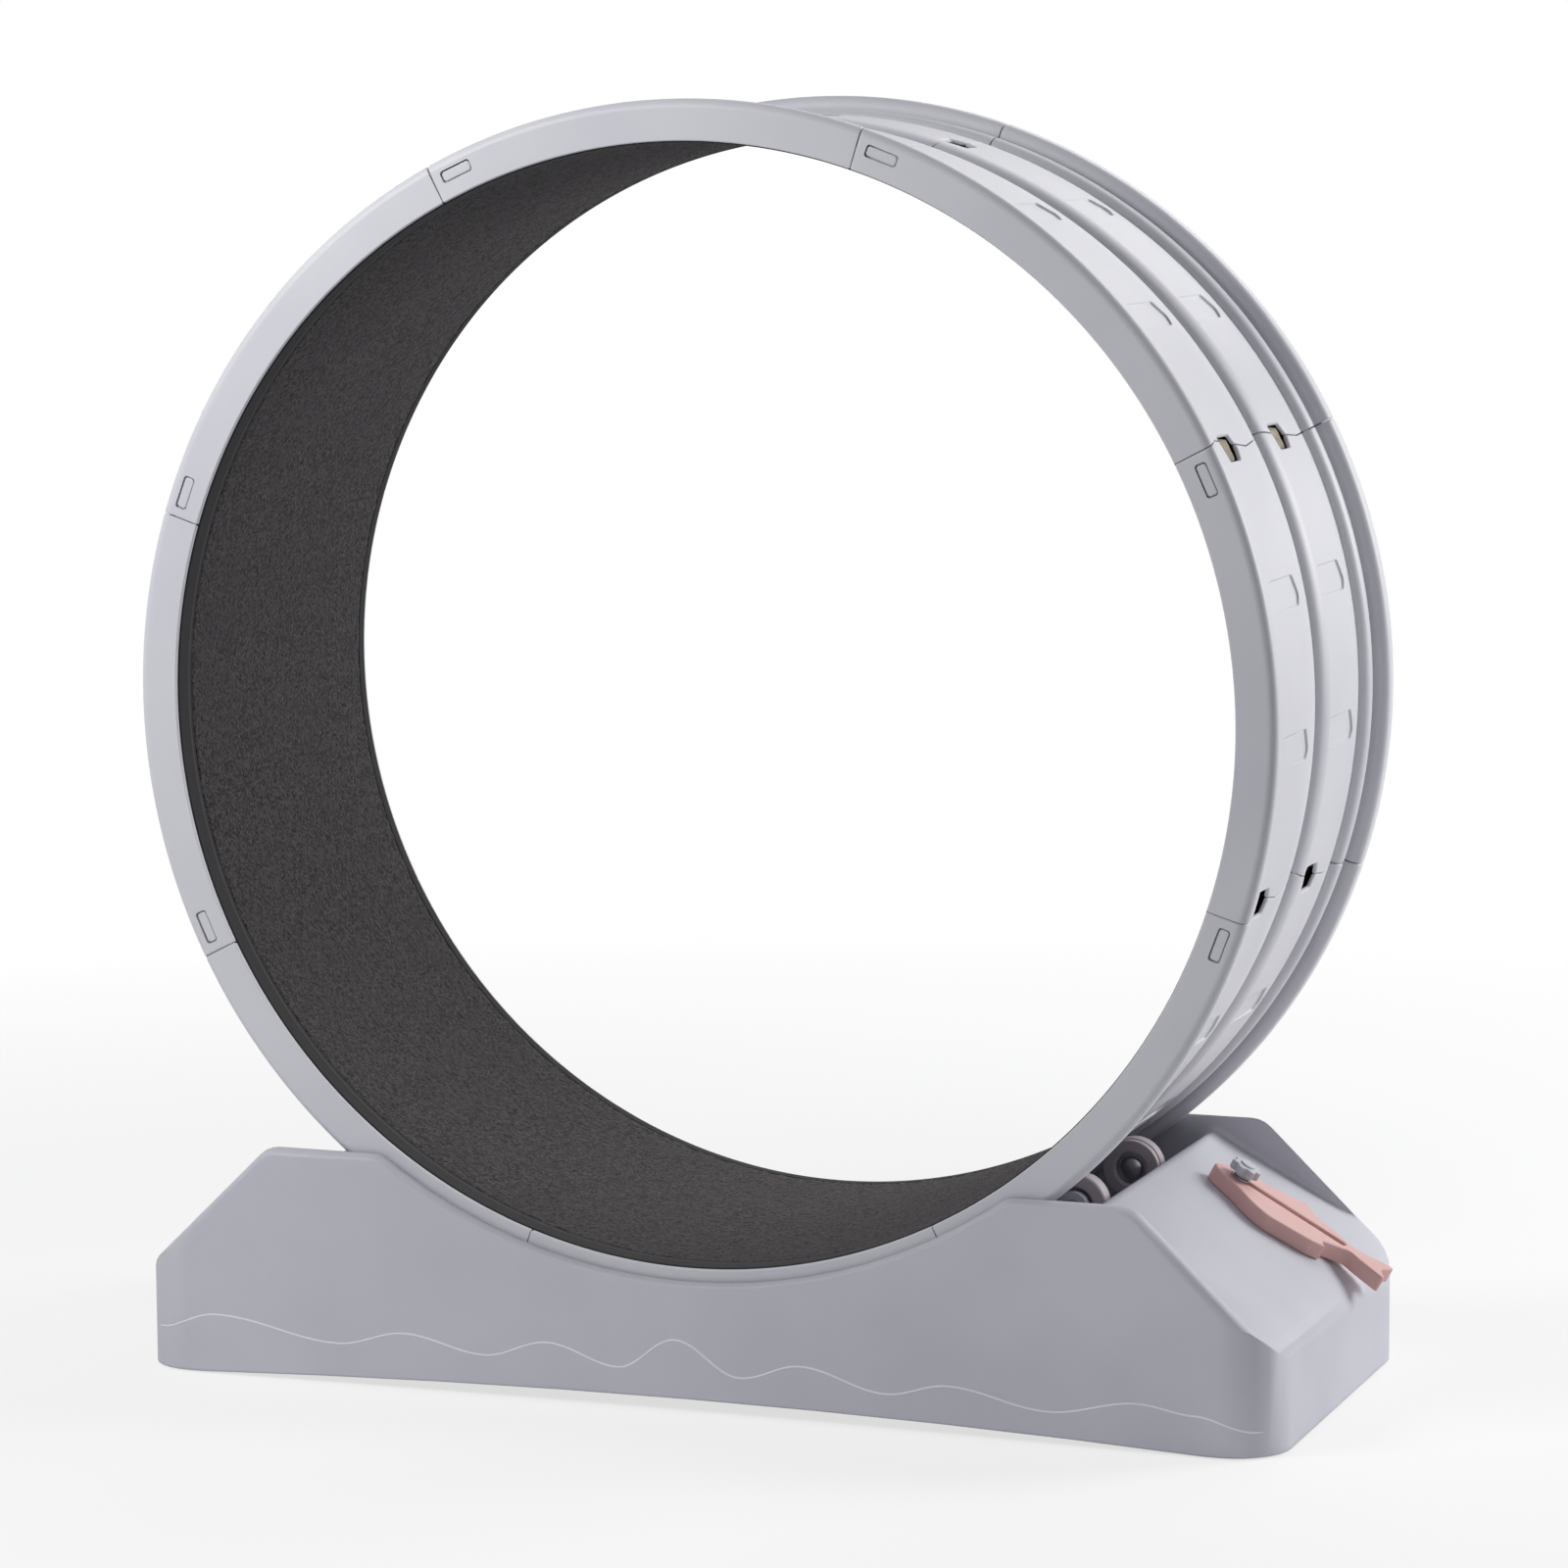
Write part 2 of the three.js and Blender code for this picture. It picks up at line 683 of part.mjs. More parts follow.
// The base as one block with its trough, drawn in by a distance on every visible side.
function baseBlock(distance) {
  const tall = wallTop + 50;
  const roundSteps = 4;
  const filletSteps = 3;
  const rings = [];
  for (let i = roundSteps; i >= 0; i--) {
    const angle = (Math.PI / 2) * (i / roundSteps);
    const y = baseHalfDepth - distance - lipRounding * (1 - Math.sin(angle));
    const points = inset(wallOutline(), distance + lipRounding * (1 - Math.cos(angle)));
    rings.push([y, points]);
  }
  const others = rings.map(([y, points]) => [-y, points]).reverse();
  const walls = solidFrom(loftedY([...rings, ...others]));
  const plan = solidFrom(alongZ(inset(planOutline(), distance), -distance - skirt, tall));
  const openings = [];
  for (let i = filletSteps; i >= 0; i--) {
    const angle = (Math.PI / 2) * (i / filletSteps);
    const y = wallInner + distance - rampFillet * (1 - Math.sin(angle));
    openings.push([y, inset(troughOutline(), rampFillet * (1 - Math.cos(angle)) - distance)]);
  }
  const mirrored = openings.map(([y, points]) => [-y, points]).reverse();
  const trough = solidFrom(loftedY([...openings, ...mirrored]));
  return walls.intersect(plan).subtract(trough);
}

// What the shell's rim stays clear of: the floor, and a low arch under each long side.
function floorCut() {
  const steps = 8;
  const archHalf = baseHalfLength - archMargin;
  const arch = [];
  for (let i = 0; i <= steps; i++) {
    const x = archHalf * (1 - (2 * i) / steps);
    arch.push([x, rimLift + archRise * (1 - (x / archHalf) ** 2)]);
  }
  const far = baseHalfLength + 20;
  const deep = -2 * skirt;
  const points = [[-far, deep], [far, deep], [far, rimLift], ...arch, [-far, rimLift]];
  return solidFrom(alongY(points, -baseHalfDepth - 20, baseHalfDepth + 20));
}

function gridSolid() {
  const slabs = [];
  const half = gridThick / 2;
  const far = baseHalfLength + 20;
  const high = wallTop + 50;
  for (let x = gridPitch / 2; x < baseHalfLength - 20; x += gridPitch) {
    slabs.push(block([x - half, x + half], [-far, far], [gridLift, high]));
    slabs.push(block([-x - half, -x + half], [-far, far], [gridLift, high]));
  }
  for (let y = gridPitch / 2; y < wallInner - 20; y += gridPitch) {
    slabs.push(block([-far, far], [y - half, y + half], [gridLift, high]));
    slabs.push(block([-far, far], [-y - half, -y + half], [gridLift, high]));
  }
  return joined(...slabs.map(solidFrom));
}

// The post stands on the side of the roller that faces away from the wheel's middle.
function postSpan(place) {
  const outwards = Math.sign(place);
  const near = place + outwards * (rollerWidth / 2 + 1.5);
  const far = near + outwards * postThick;
  return [Math.min(near, far), Math.max(near, far)];
}

function postSolid(side, place) {
  const x = side * rollerX;
  const foot = saddleHeight(rollerX, wellRadius) - 2;
  const top = Array.from({ length: 9 }, (_, i) => {
    const angle = rad((180 * i) / 8);
    return [x + postRadius * Math.cos(angle), rollerZ + postRadius * Math.sin(angle)];
  });
  const outline = [[x - postRadius - 5, foot - 8], [x + postRadius + 3, foot], ...top];
  const [y0, y1] = postSpan(place);
  const plate = solidFrom(alongY(outline, y0, y1));
  const bore = solidFrom(
    alongY(circle(x, rollerZ, boltRadius + runningGap, 12), y0 - 1, y1 + 1),
  );
  return plate.subtract(bore);
}

// The ramp's own frame: u down the ramp, v along the wheel's axis, w out of the ramp.
const rampFrame = new THREE.Group();
rampFrame.position.set(rampCrest[0], 0, rampCrest[1]);
rampFrame.rotation.y = rad(rampSlope);
rampFrame.updateMatrixWorld(true);

function baseSolid() {
  let solid = baseBlock(0).subtract(baseBlock(baseWall));
  solid = solid.add(gridSolid().intersect(baseBlock(baseWall / 2)));
  for (const x of [-footPlace[0], footPlace[0]]) {
    for (const y of [-footPlace[1], footPlace[1]]) {
      const boss = block(
        [x - footLength / 2, x + footLength / 2],
        [y - footDepth / 2, y + footDepth / 2],
        [footHeight + lift, gridLift + 6],
      );
      solid = solid.add(solidFrom(boss));
    }
  }
  solid = solid.subtract(floorCut());
  for (const side of [-1, 1]) {
    for (const place of Object.values(rollerPlaces)) {
      solid = solid.add(postSolid(side, place));
    }
  }
  const hole = alongZ(circle(knobPlace, brakeCentre, screwRadius + runningGap, 12), -12, 6);
  hole.applyMatrix4(rampFrame.matrixWorld);
  return solid.subtract(solidFrom(hole));
}

addPiece("base_shell", geometryFrom(baseSolid()), "base", root);

for (const [endName, sx] of [["left", -1], ["right", 1]]) {
  for (const [sideName, sy] of [["front", -1], ["rear", 1]]) {
    const x = sx * footPlace[0];
    const y = sy * footPlace[1];
    const foot = block(
      [x - footLength / 2, x + footLength / 2],
      [y - footDepth / 2, y + footDepth / 2],
      [0, footHeight],
    );
    addPiece(`foot_${sideName}_${endName}`, foot, "rubber", root);
  }
}

// ---------- rollers ----------

const tyreSides = 24;
const boltSides = 12;

// Along y, the bolt's head is at the negative side and the post at the positive side.
function tyreGeometry() {
  const half = rollerWidth / 2;
  const bore = bearingRadius + lift;
  return turned(
    [
      [bore, half],
      [bore, -half],
      [rollerRadius - 1.2, -half],
      [rollerRadius - 0.6, -half + 4],
      [rollerRadius - 1.6, -half + 5],
      [rollerRadius, -half + 6.4],
      [rollerRadius, half - 2],
      [rollerRadius - 1.6, half],
    ],
    tyreSides,
  );
}

function bearingGeometry() {
  const half = bearingWidth / 2;
  const bore = boltRadius + runningGap;
  const race = bearingRadius - 2.6;
  return turned(
    [
      [bore, half],
      [bore, -half],
      [bore + 2.2, -half],
      [bore + 2.2, -half + 0.8],
      [race, -half + 0.8],
      [race, -half],
      [bearingRadius, -half],
      [bearingRadius, half],
    ],
    16,
  );
}

function boltGeometry() {
  const headBack = -bearingWidth / 2 - lift;
  const headFront = headBack - boltHeadHeight;
  const tip = rollerWidth / 2 + 1.5 + postThick + 9;
  return turned(
    [
      [0, tip],
      [boltRadius, tip],
      [boltRadius, headBack],
      [boltHeadRadius, headBack],
      [boltHeadRadius, headBack - 1.4],
      [boltHeadRadius - 3.4, headFront],
      [0, headFront],
    ].reverse(),
    boltSides,
  );
}

function nutGeometry(acrossCorners, bore, thick) {
  return alongZ(circle(0, 0, acrossCorners, 6), 0, thick, [circle(0, 0, bore, boltSides)]);
}

for (const [endName, sx] of [["left", -1], ["right", 1]]) {
  for (const [sideName, place] of Object.entries(rollerPlaces)) {
    const unit = new THREE.Group();
    unit.position.set(sx * rollerX, place, rollerZ);
    if (place < 0) unit.rotation.z = Math.PI;
    root.add(unit);
    const tag = `${sideName}_${endName}`;
    addPiece(`roller_tyre_${tag}`, tyreGeometry(), "tyre", unit);
    addPiece(`roller_bearing_${tag}`, bearingGeometry(), "steel", unit);
    addPiece(`roller_bolt_${tag}`, boltGeometry(), "steel", unit);
    const nut = nutGeometry(7.5, boltRadius + lift, 6);
    nut.rotateX(-Math.PI / 2);
    nut.translate(0, rollerWidth / 2 + 1.5 + postThick + lift, 0);
    addPiece(`roller_nut_${tag}`, nut, "steel", unit);
  }
}

// ---------- brake ----------

root.add(rampFrame);

// The fish from above: u from the head's tip, v from its middle line, near side negative.
function fishOutline() {
  const near = [
    [0, 0],
    [5, -9],
    [15, -16],
    [30, -22.5],
    [47, -36],
    [57, -42],
    [69, -46],
    [92, -43],
    [110, -40],
    [122, -33.5],
    [116, -24.5],
    [129, -14],
    [138, -7],
    [147, -12],
    [162, -17],
    [178, -22],
  ];
  const far = [
    [168, -3],
    [176, 18],
    [168, 17],
    [149, 9],
    [138, 7],
    [116, 18],
    [97, 23],
    [87, 35],
    [79, 43],
    [75, 36],
    [62, 31],
    [41, 25],
    [20, 18],
    [6, 10],
  ];
  const scale = fishLength / 178; // the outline below is that of a fish 178 mm long
  return [...near, ...far].map(([u, v]) => [headPlace + u * scale, brakeCentre + v * scale]);
}

function slotOutline() {
  const half = slotWidth / 2;
  const steps = 5;
  const points = [];
  for (let i = 0; i <= steps; i++) {
    const angle = rad(90 + (180 * i) / steps);
    points.push([
      slotStart + half + half * Math.cos(angle),
      brakeCentre + half * Math.sin(angle),
    ]);
  }
  for (let i = 0; i <= steps; i++) {
    const angle = rad(-90 + (180 * i) / steps);
    points.push([
      slotEnd - half + half * Math.cos(angle),
      brakeCentre + half * Math.sin(angle),
    ]);
  }
  return points;
}

addPiece(
  "brake_fish",
  alongZ(fishOutline(), lift, lift + brakeThick, [slotOutline()]),
  "fish",
  rampFrame,
);

const washerThick = 1.5;
const plateTop = lift + brakeThick;
const knobFoot = plateTop + lift + washerThick + lift;
const knobNeck = 3;
const knobDepth = 8;

function ringAbout(radius, bore, from, to, sides) {
  const outer = circle(knobPlace, brakeCentre, radius, sides);
  const inner = circle(knobPlace, brakeCentre, bore, boltSides);
  return alongZ(outer, from, to, [inner]);
}

function knobSolid() {
  const star = [];
  const stepsPerLobe = 6;
  for (let i = 0; i < knobLobes * stepsPerLobe; i++) {
    const angle = (2 * Math.PI * i) / (knobLobes * stepsPerLobe);
    const reach = knobRadius - 1.1 + 1.1 * Math.cos(knobLobes * angle);
    star.push([knobPlace + reach * Math.cos(angle), brakeCentre + reach * Math.sin(angle)]);
  }
  const top = knobFoot + knobNeck + knobDepth;
  const grip = solidFrom(alongZ(star, knobFoot + knobNeck, top));
  const neck = solidFrom(alongZ(circle(knobPlace, brakeCentre, 7, 16), knobFoot, top + 1.5));
  const bore = solidFrom(
    alongZ(circle(knobPlace, brakeCentre, screwRadius + lift, boltSides), knobFoot - 1, top - 2),
  );
  return grip.add(neck).subtract(bore);
}

const nutTop = -baseWall - lift;
const screwTop = knobFoot + knobNeck + knobDepth - 2 - lift;
addPiece("knob_grip", geometryFrom(knobSolid()), "knob", rampFrame);
addPiece(
  "knob_screw",
  alongZ(circle(knobPlace, brakeCentre, screwRadius, boltSides), nutTop - 8, screwTop),
  "steel",
  rampFrame,
);
addPiece(
  "knob_washer",
  ringAbout(9, screwRadius + lift, plateTop + lift, plateTop + lift + washerThick, 20),
  "steel",
  rampFrame,
);
addPiece(
  "knob_nut",
  ringAbout(6.4, screwRadius + lift, nutTop - 5, nutTop, 6),
  "steel",
  rampFrame,
);

// The tail reaches past the base's right end, so the outline's middle isn't under the axis.
root.updateMatrixWorld(true);
const outlineBox = new THREE.Box3().setFromObject(root, true);
root.position.x = -(outlineBox.min.x + outlineBox.max.x) / 2;

export default root;
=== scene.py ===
import cmath
import json
import math

import bmesh
import bpy
import numpy as np
from mathutils import Matrix, Vector
from mathutils.geometry import tessellate_polygon


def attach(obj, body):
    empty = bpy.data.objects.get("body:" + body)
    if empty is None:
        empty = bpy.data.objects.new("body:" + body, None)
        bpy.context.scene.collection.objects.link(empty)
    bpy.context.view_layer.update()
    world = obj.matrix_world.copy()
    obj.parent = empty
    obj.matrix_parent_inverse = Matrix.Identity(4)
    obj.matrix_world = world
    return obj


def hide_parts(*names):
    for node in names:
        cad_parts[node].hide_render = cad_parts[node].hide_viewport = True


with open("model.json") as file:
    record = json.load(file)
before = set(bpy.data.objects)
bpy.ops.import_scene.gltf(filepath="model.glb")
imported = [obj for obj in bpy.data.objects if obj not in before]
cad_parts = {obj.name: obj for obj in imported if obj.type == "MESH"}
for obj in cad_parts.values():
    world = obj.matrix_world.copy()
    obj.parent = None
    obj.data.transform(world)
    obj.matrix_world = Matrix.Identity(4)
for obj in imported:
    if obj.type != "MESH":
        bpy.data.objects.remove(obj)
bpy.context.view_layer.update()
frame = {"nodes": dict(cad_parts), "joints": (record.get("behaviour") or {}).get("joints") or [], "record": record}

mm = 0.001
bodyOf = {node: body for body, nodes in frame["record"]["behaviour"]["bodies"].items() for node in nodes}


def jointNamed(name):
    return next(joint for joint in frame["joints"] if joint["name"] == name)


axle = np.array(jointNamed("wheel_spin")["pos_m"])  # middle of the wheel's axis
print("frame loaded:", len(frame["nodes"]), "nodes")


# Mesh tools. Lengths are in millimetres until a piece is placed.


def newObject(name, points, faces, mergeWithin=0.002 * mm):
    mesh = bpy.data.meshes.new(name)
    mesh.from_pydata([tuple(p) for p in points], [], [tuple(f) for f in faces])
    work = bmesh.new()
    work.from_mesh(mesh)
    bmesh.ops.remove_doubles(work, verts=work.verts, dist=mergeWithin)
    bmesh.ops.recalc_face_normals(work, faces=work.faces)
    work.to_mesh(mesh)
    work.free()
    made = bpy.data.objects.new(name, mesh)
    bpy.context.scene.collection.objects.link(made)
    return made


def smoothed(made, sharpAngle=32, weighted=True):
    mesh = made.data
    mesh.polygons.foreach_set("use_smooth", [True] * len(mesh.polygons))
    mesh.set_sharp_from_angle(angle=math.radians(sharpAngle))
    if weighted:
        normals = made.modifiers.new("normals", "WEIGHTED_NORMAL")
        normals.keep_sharp = True
    return made


def fitted(made, body, material, slot, *nodes):
    made.data.materials.clear()
    made.data.materials.append(material)
    if nodes:
        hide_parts(*nodes)
    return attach(made, body)


# Closed outlines, one after the other, as one skin with its two ends closed.
def skinFaces(count, around, joined=False, first=0):
    faces = []
    for i in range(count if joined else count - 1):
        a = first + i * around
        b = first + (i + 1) % count * around
        faces += [(a + j, a + (j + 1) % around, b + (j + 1) % around, b + j) for j in range(around)]
    if not joined:
        last = first + (count - 1) * around
        faces.append(tuple(range(first, first + around))[::-1])
        faces.append(tuple(range(last, last + around)))
    return faces


def skin(rings, joined=False):
    count, around, _ = rings.shape
    return rings.reshape(-1, 3), skinFaces(count, around, joined)


# Several skins as one list of points and faces.
def together(*parts):
    points = []
    faces = []
    for partPoints, partFaces in parts:
        first = sum(len(p) for p in points)
        points.append(np.asarray(partPoints, float))
        faces += [tuple(first + i for i in face) for face in partFaces]
    return np.concatenate(points), faces


# Corners (a, b, radius) of a closed outline, each rounded by its own arc.
def filleted(corners, degreesPerPoint=14):
    points = []
    for i, (a, b, radius) in enumerate(corners):
        here = complex(a, b)
        before = complex(*corners[i - 1][:2]) - here
        after = complex(*corners[(i + 1) % len(corners)][:2]) - here
        half = abs(cmath.phase(after / before)) / 2
        if radius == 0 or half > 1.55:
            points.append((a, b))
            continue
        tangent = min(radius / math.tan(half), 0.49 * abs(before), 0.49 * abs(after))
        middle = before / abs(before) + after / abs(after)
        centre = here + middle / abs(middle) * tangent / math.cos(half)
        start = here + before / abs(before) * tangent - centre
        end = here + after / abs(after) * tangent - centre
        turn = cmath.phase(end / start)
        steps = max(1, round(abs(math.degrees(turn)) / degreesPerPoint))
        for k in range(steps + 1):
            p = centre + start * cmath.rect(1, turn * k / steps)
            points.append((p.real, p.imag))
    return np.array(points)


def roundedBox(low, high, radius):
    (a0, b0), (a1, b1) = low, high
    return filleted([(a0, b0, radius), (a1, b0, radius), (a1, b1, radius), (a0, b1, radius)])


# Outward directions at the points of a closed outline, longer at its corners.
def outward(outline):
    before = outline - np.roll(outline, 1, axis=0)
    after = np.roll(outline, -1, axis=0) - outline
    sides = []
    for edge in (before, after):
        length = np.maximum(np.linalg.norm(edge, axis=1, keepdims=True), 1e-9)
        sides.append(np.stack([edge[:, 1], -edge[:, 0]], axis=1) / length)
    normal = sides[0] + sides[1]
    normal /= np.maximum(np.linalg.norm(normal, axis=1, keepdims=True), 1e-9)
    reach = np.maximum((normal * sides[0]).sum(axis=1, keepdims=True), 0.5)
    area = (outline[:, 0] * np.roll(outline[:, 1], -1) - np.roll(outline[:, 0], -1) * outline[:, 1]).sum()
    return normal / reach * (1 if area > 0 else -1)


# The outline at several heights, drawn in by a length at each.
def stacked(outline, levels):
    away = outward(outline)
    rings = []
    for height, inset in levels:
        flat = outline - away * inset
        rings.append(np.column_stack([flat, np.full(len(flat), float(height))]))
    return np.array(rings)


# Levels of a slab whose edges are rounded below and above.
def softEdges(low, high, radius, steps=4):
    turns = [math.pi / 2 * k / steps for k in range(steps + 1)]
    rise = [(low + radius * (1 - math.cos(t)), radius * (1 - math.sin(t))) for t in turns]
    return rise + [(high + low - height, inset) for height, inset in reversed(rise)]


# A slab with holes through it, as points (a, b, height) and faces.
def plate(outer, holes, levels):
    stacks = [stacked(outer, levels)]
    for hole in holes:
        stacks.append(stacked(hole, [(height, -inset) for height, inset in levels]))
    points = np.concatenate([rings.reshape(-1, 3) for rings in stacks])
    faces = []
    bottoms = []
    tops = []
    first = 0
    for rings in stacks:
        count, around, _ = rings.shape
        faces += skinFaces(count, around, first=first)[:-2]
        bottoms.append(list(range(first, first + around)))
        tops.append(list(range(first + (count - 1) * around, first + count * around)))
        first += count * around
    for loops in (bottoms, tops):
        order = [i for loop in loops for i in loop]
        for triangle in tessellate_polygon([[Vector(points[i]) for i in loop] for loop in loops]):
            faces.append(tuple(order[i] for i in triangle))
    return points, faces


# Points (along the rim, along the axle, from the axle) set on the wheel at an angle.
def onWheel(points, degrees):
    along, across, out = np.asarray(points, float).T
    turn = math.radians(degrees)
    x = along * math.cos(turn) + out * math.sin(turn)
    z = -along * math.sin(turn) + out * math.cos(turn)
    return axle + np.column_stack([x, across, z]) * mm


# A closed outline (y, radius) carried round the axle through the given angles.
def carried(outline, degrees):
    turns = np.radians(degrees)[:, None]
    across, out = outline.T
    rings = np.stack([out * np.sin(turns), across + 0 * turns, out * np.cos(turns)], axis=2)
    return axle + rings * mm


# A closed outline (radius, y) turned about a line along Y through the centre.
def turned(outline, centre, sides=64):
    turns = np.linspace(0, 2 * math.pi, sides, endpoint=False)[:, None]
    out, across = outline.T
    rings = np.stack([out * np.cos(turns), across + 0 * turns, out * np.sin(turns)], axis=2)
    return skin(np.asarray(centre) + rings * mm, joined=True)


# One output of a node, so that shader maths reads as an expression.
class Wire:
    def __init__(self, finish, socket):
        self.finish = finish
        self.socket = socket

    def combined(self, operation, left, right):
        return self.finish.node("ShaderNodeMath", {"operation": operation}, {0: left, 1: right})

    def __add__(self, other):
        return self.combined("ADD", self, other)

    def __radd__(self, other):
        return self.combined("ADD", other, self)

    def __sub__(self, other):
        return self.combined("SUBTRACT", self, other)

    def __rsub__(self, other):
        return self.combined("SUBTRACT", other, self)

    def __mul__(self, other):
        return self.combined("MULTIPLY", self, other)

    def __rmul__(self, other):
        return self.combined("MULTIPLY", other, self)


# One material. Sizes of its pattern are in millimetres.
class Finish:
    def __init__(self, name, constants):
        self.material = bpy.data.materials.new(name)
        self.material.use_nodes = True
        self.tree = self.material.node_tree
        self.shader = self.tree.nodes["Principled BSDF"]
        for socket, value in constants.items():
            self.shader.inputs[socket].default_value = value
        self.place = self.node("ShaderNodeTexCoord", output="Object")

    def connect(self, socket, value):
        if isinstance(value, Wire):
            self.tree.links.new(value.socket, socket)
        else:
            socket.default_value = value

    def node(self, kind, settings=None, inputs=None, output=0):
        made = self.tree.nodes.new(kind)
        for key, value in (settings or {}).items():
            setattr(made, key, value)
        for key, value in (inputs or {}).items():
            self.connect(made.inputs[key], value)
        return Wire(self, made.outputs[output])

    def surface(self, **inputs):
        for key, value in inputs.items():
            self.connect(self.shader.inputs[key.replace("_", " ")], value)

    def noise(self, size, detail=3, roughness=0.5):
        inputs = {"Vector": self.place, "Scale": 1 / (size * mm), "Detail": detail, "Roughness": roughness}
        return self.node("ShaderNodeTexNoise", None, inputs)

    def cells(self, size, output):
        inputs = {"Vector": self.place, "Scale": 1 / (size * mm)}
        return self.node("ShaderNodeTexVoronoi", None, inputs, output)

    def between(self, value, low, high, outLow=0.0, outHigh=1.0):
        inputs = {"Value": value, "From Min": low, "From Max": high, "To Min": outLow, "To Max": outHigh}
        return self.node("ShaderNodeMapRange", None, inputs)

    def blended(self, share, first, second):
        return self.node("ShaderNodeMix", {"data_type": "RGBA"}, {0: share, 6: first, 7: second}, 2)

    def bumped(self, height, depth, under=None):
        inputs = {"Height": height, "Distance": depth * mm}
        if under is not None:
            inputs["Normal"] = under
        return self.node("ShaderNodeBump", None, inputs)


def tone(red, green, blue):  # a colour as it looks on a screen, 0 to 255
    shares = [c / 255 for c in (red, green, blue)]
    return tuple(c / 12.92 if c <= 0.04045 else ((c + 0.055) / 1.055) ** 2.4 for c in shares) + (1.0,)


# Two tones between which each plastic drifts, as seen on a screen.
mouldedLook = {
    "ring": dict(colour=(213, 213, 218), shaded=(205, 205, 212), rough=0.43),
    "base": dict(colour=(202, 202, 209), shaded=(193, 193, 202), rough=0.46),
    "line": dict(colour=(236, 236, 240), shaded=(228, 228, 234), rough=0.4),
    "knob": dict(colour=(196, 197, 203), shaded=(182, 183, 190), rough=0.42),
    "fish": dict(colour=(226, 184, 178), shaded=(219, 173, 167), rough=0.5),
    "tyre": dict(colour=(192, 183, 187), shaded=(176, 166, 170), rough=0.5),
}
moulding = dict(drift=160, specks=0.7, rubs=28, ripple=55, grainDepth=0.03, rippleDepth=0.12)


# Injection-moulded plastic: fine grain, slow drift of tone, faint rub marks, soft corners.
def mouldedPlastic(name, look, grain=0.9, corner=0.0):
    finish = Finish(name, {"IOR": 1.47})
    drift = finish.noise(moulding["drift"], 2)
    specks = finish.noise(moulding["specks"], 2)
    rubs = finish.between(finish.noise(moulding["rubs"], 5, 0.7), 0.58, 0.72)
    share = finish.between(drift + 0.25 * specks, 0.45, 0.85)
    colour = finish.blended(share, tone(*look["colour"]), tone(*look["shaded"]))
    roughness = look["rough"] + 0.07 * rubs + 0.05 * specks
    under = None
    if corner:
        under = finish.node("ShaderNodeBevel", {"samples": 6}, {"Radius": corner * mm})
    normal = finish.bumped(finish.noise(grain, 2), moulding["grainDepth"], under)
    normal = finish.bumped(finish.noise(moulding["ripple"], 2), moulding["rippleDepth"], normal)
    finish.surface(Base_Color=colour, Roughness=roughness, Normal=normal)
    return finish.material


yarns = dict(
    loop=2.1, loopDepth=1.1, fibre=0.6, fibreDepth=0.35, worn=90,
    dark=(15, 12, 14), light=(83, 77, 80), flat=(58, 54, 57),
)


# Loop pile in charcoal yarns of mixed tone, flattened a little where it is worn.
def loopPile(name):
    finish = Finish(name, {"Roughness": 0.95, "Sheen Weight": 0.06, "Sheen Roughness": 0.6, "IOR": 1.35})
    yarn = finish.cells(yarns["loop"], "Color")
    pick = finish.node("ShaderNodeSeparateColor", None, {"Color": yarn})
    fibres = finish.noise(yarns["fibre"], 3, 0.7)
    flecks = finish.between(pick * 0.6 + fibres * 0.8, 0.45, 1.0)
    colour = finish.blended(flecks, tone(*yarns["dark"]), tone(*yarns["light"]))
    wear = finish.between(finish.noise(yarns["worn"], 3), 0.35, 0.75)
    colour = finish.blended(wear * 0.25, colour, tone(*yarns["flat"]))
    loops = finish.cells(yarns["loop"], "Distance")
    normal = finish.bumped(1 - loops * 0.9, yarns["loopDepth"])
    normal = finish.bumped(fibres, yarns["fibreDepth"], normal)
    finish.surface(Base_Color=colour, Roughness=finish.between(fibres, 0.2, 0.8, 0.86, 1.0), Normal=normal)
    return finish.material


tape = dict(
    rib=1.3, fibre=0.5, stripe=(0.6, 1.5), ribDepth=0.12, fibreDepth=0.15,
    dark=(12, 11, 14), light=(32, 30, 34), pale=(72, 69, 72),
)


# Black woven tape with a fine rib along the rim and, where it has one, a paler yarn line.
def wovenTape(name, stripeAt=None):
    finish = Finish(name, {"Sheen Weight": 0.03, "IOR": 1.4})
    across = finish.node("ShaderNodeSeparateXYZ", None, {"Vector": finish.place}, "Y")
    phase = across * (2 * math.pi / (tape["rib"] * mm))
    rib = finish.node("ShaderNodeMath", {"operation": "SINE"}, {0: phase})
    fibres = finish.noise(tape["fibre"], 2)
    share = finish.between(rib + fibres, -0.6, 1.6)
    colour = finish.blended(share, tone(*tape["dark"]), tone(*tape["light"]))
    if stripeAt is not None:
        away = finish.node("ShaderNodeMath", {"operation": "ABSOLUTE"}, {0: across - stripeAt * mm})
        core, edge = tape["stripe"]
        stripe = finish.between(away, core * mm, edge * mm, 0.75, 0.0)
        colour = finish.blended(stripe, colour, tone(*tape["pale"]))
    normal = finish.bumped(rib, tape["ribDepth"])
    normal = finish.bumped(fibres, tape["fibreDepth"], normal)
    finish.surface(Base_Color=colour, Roughness=finish.between(fibres, 0.2, 0.8, 0.7, 0.95), Normal=normal)
    return finish.material


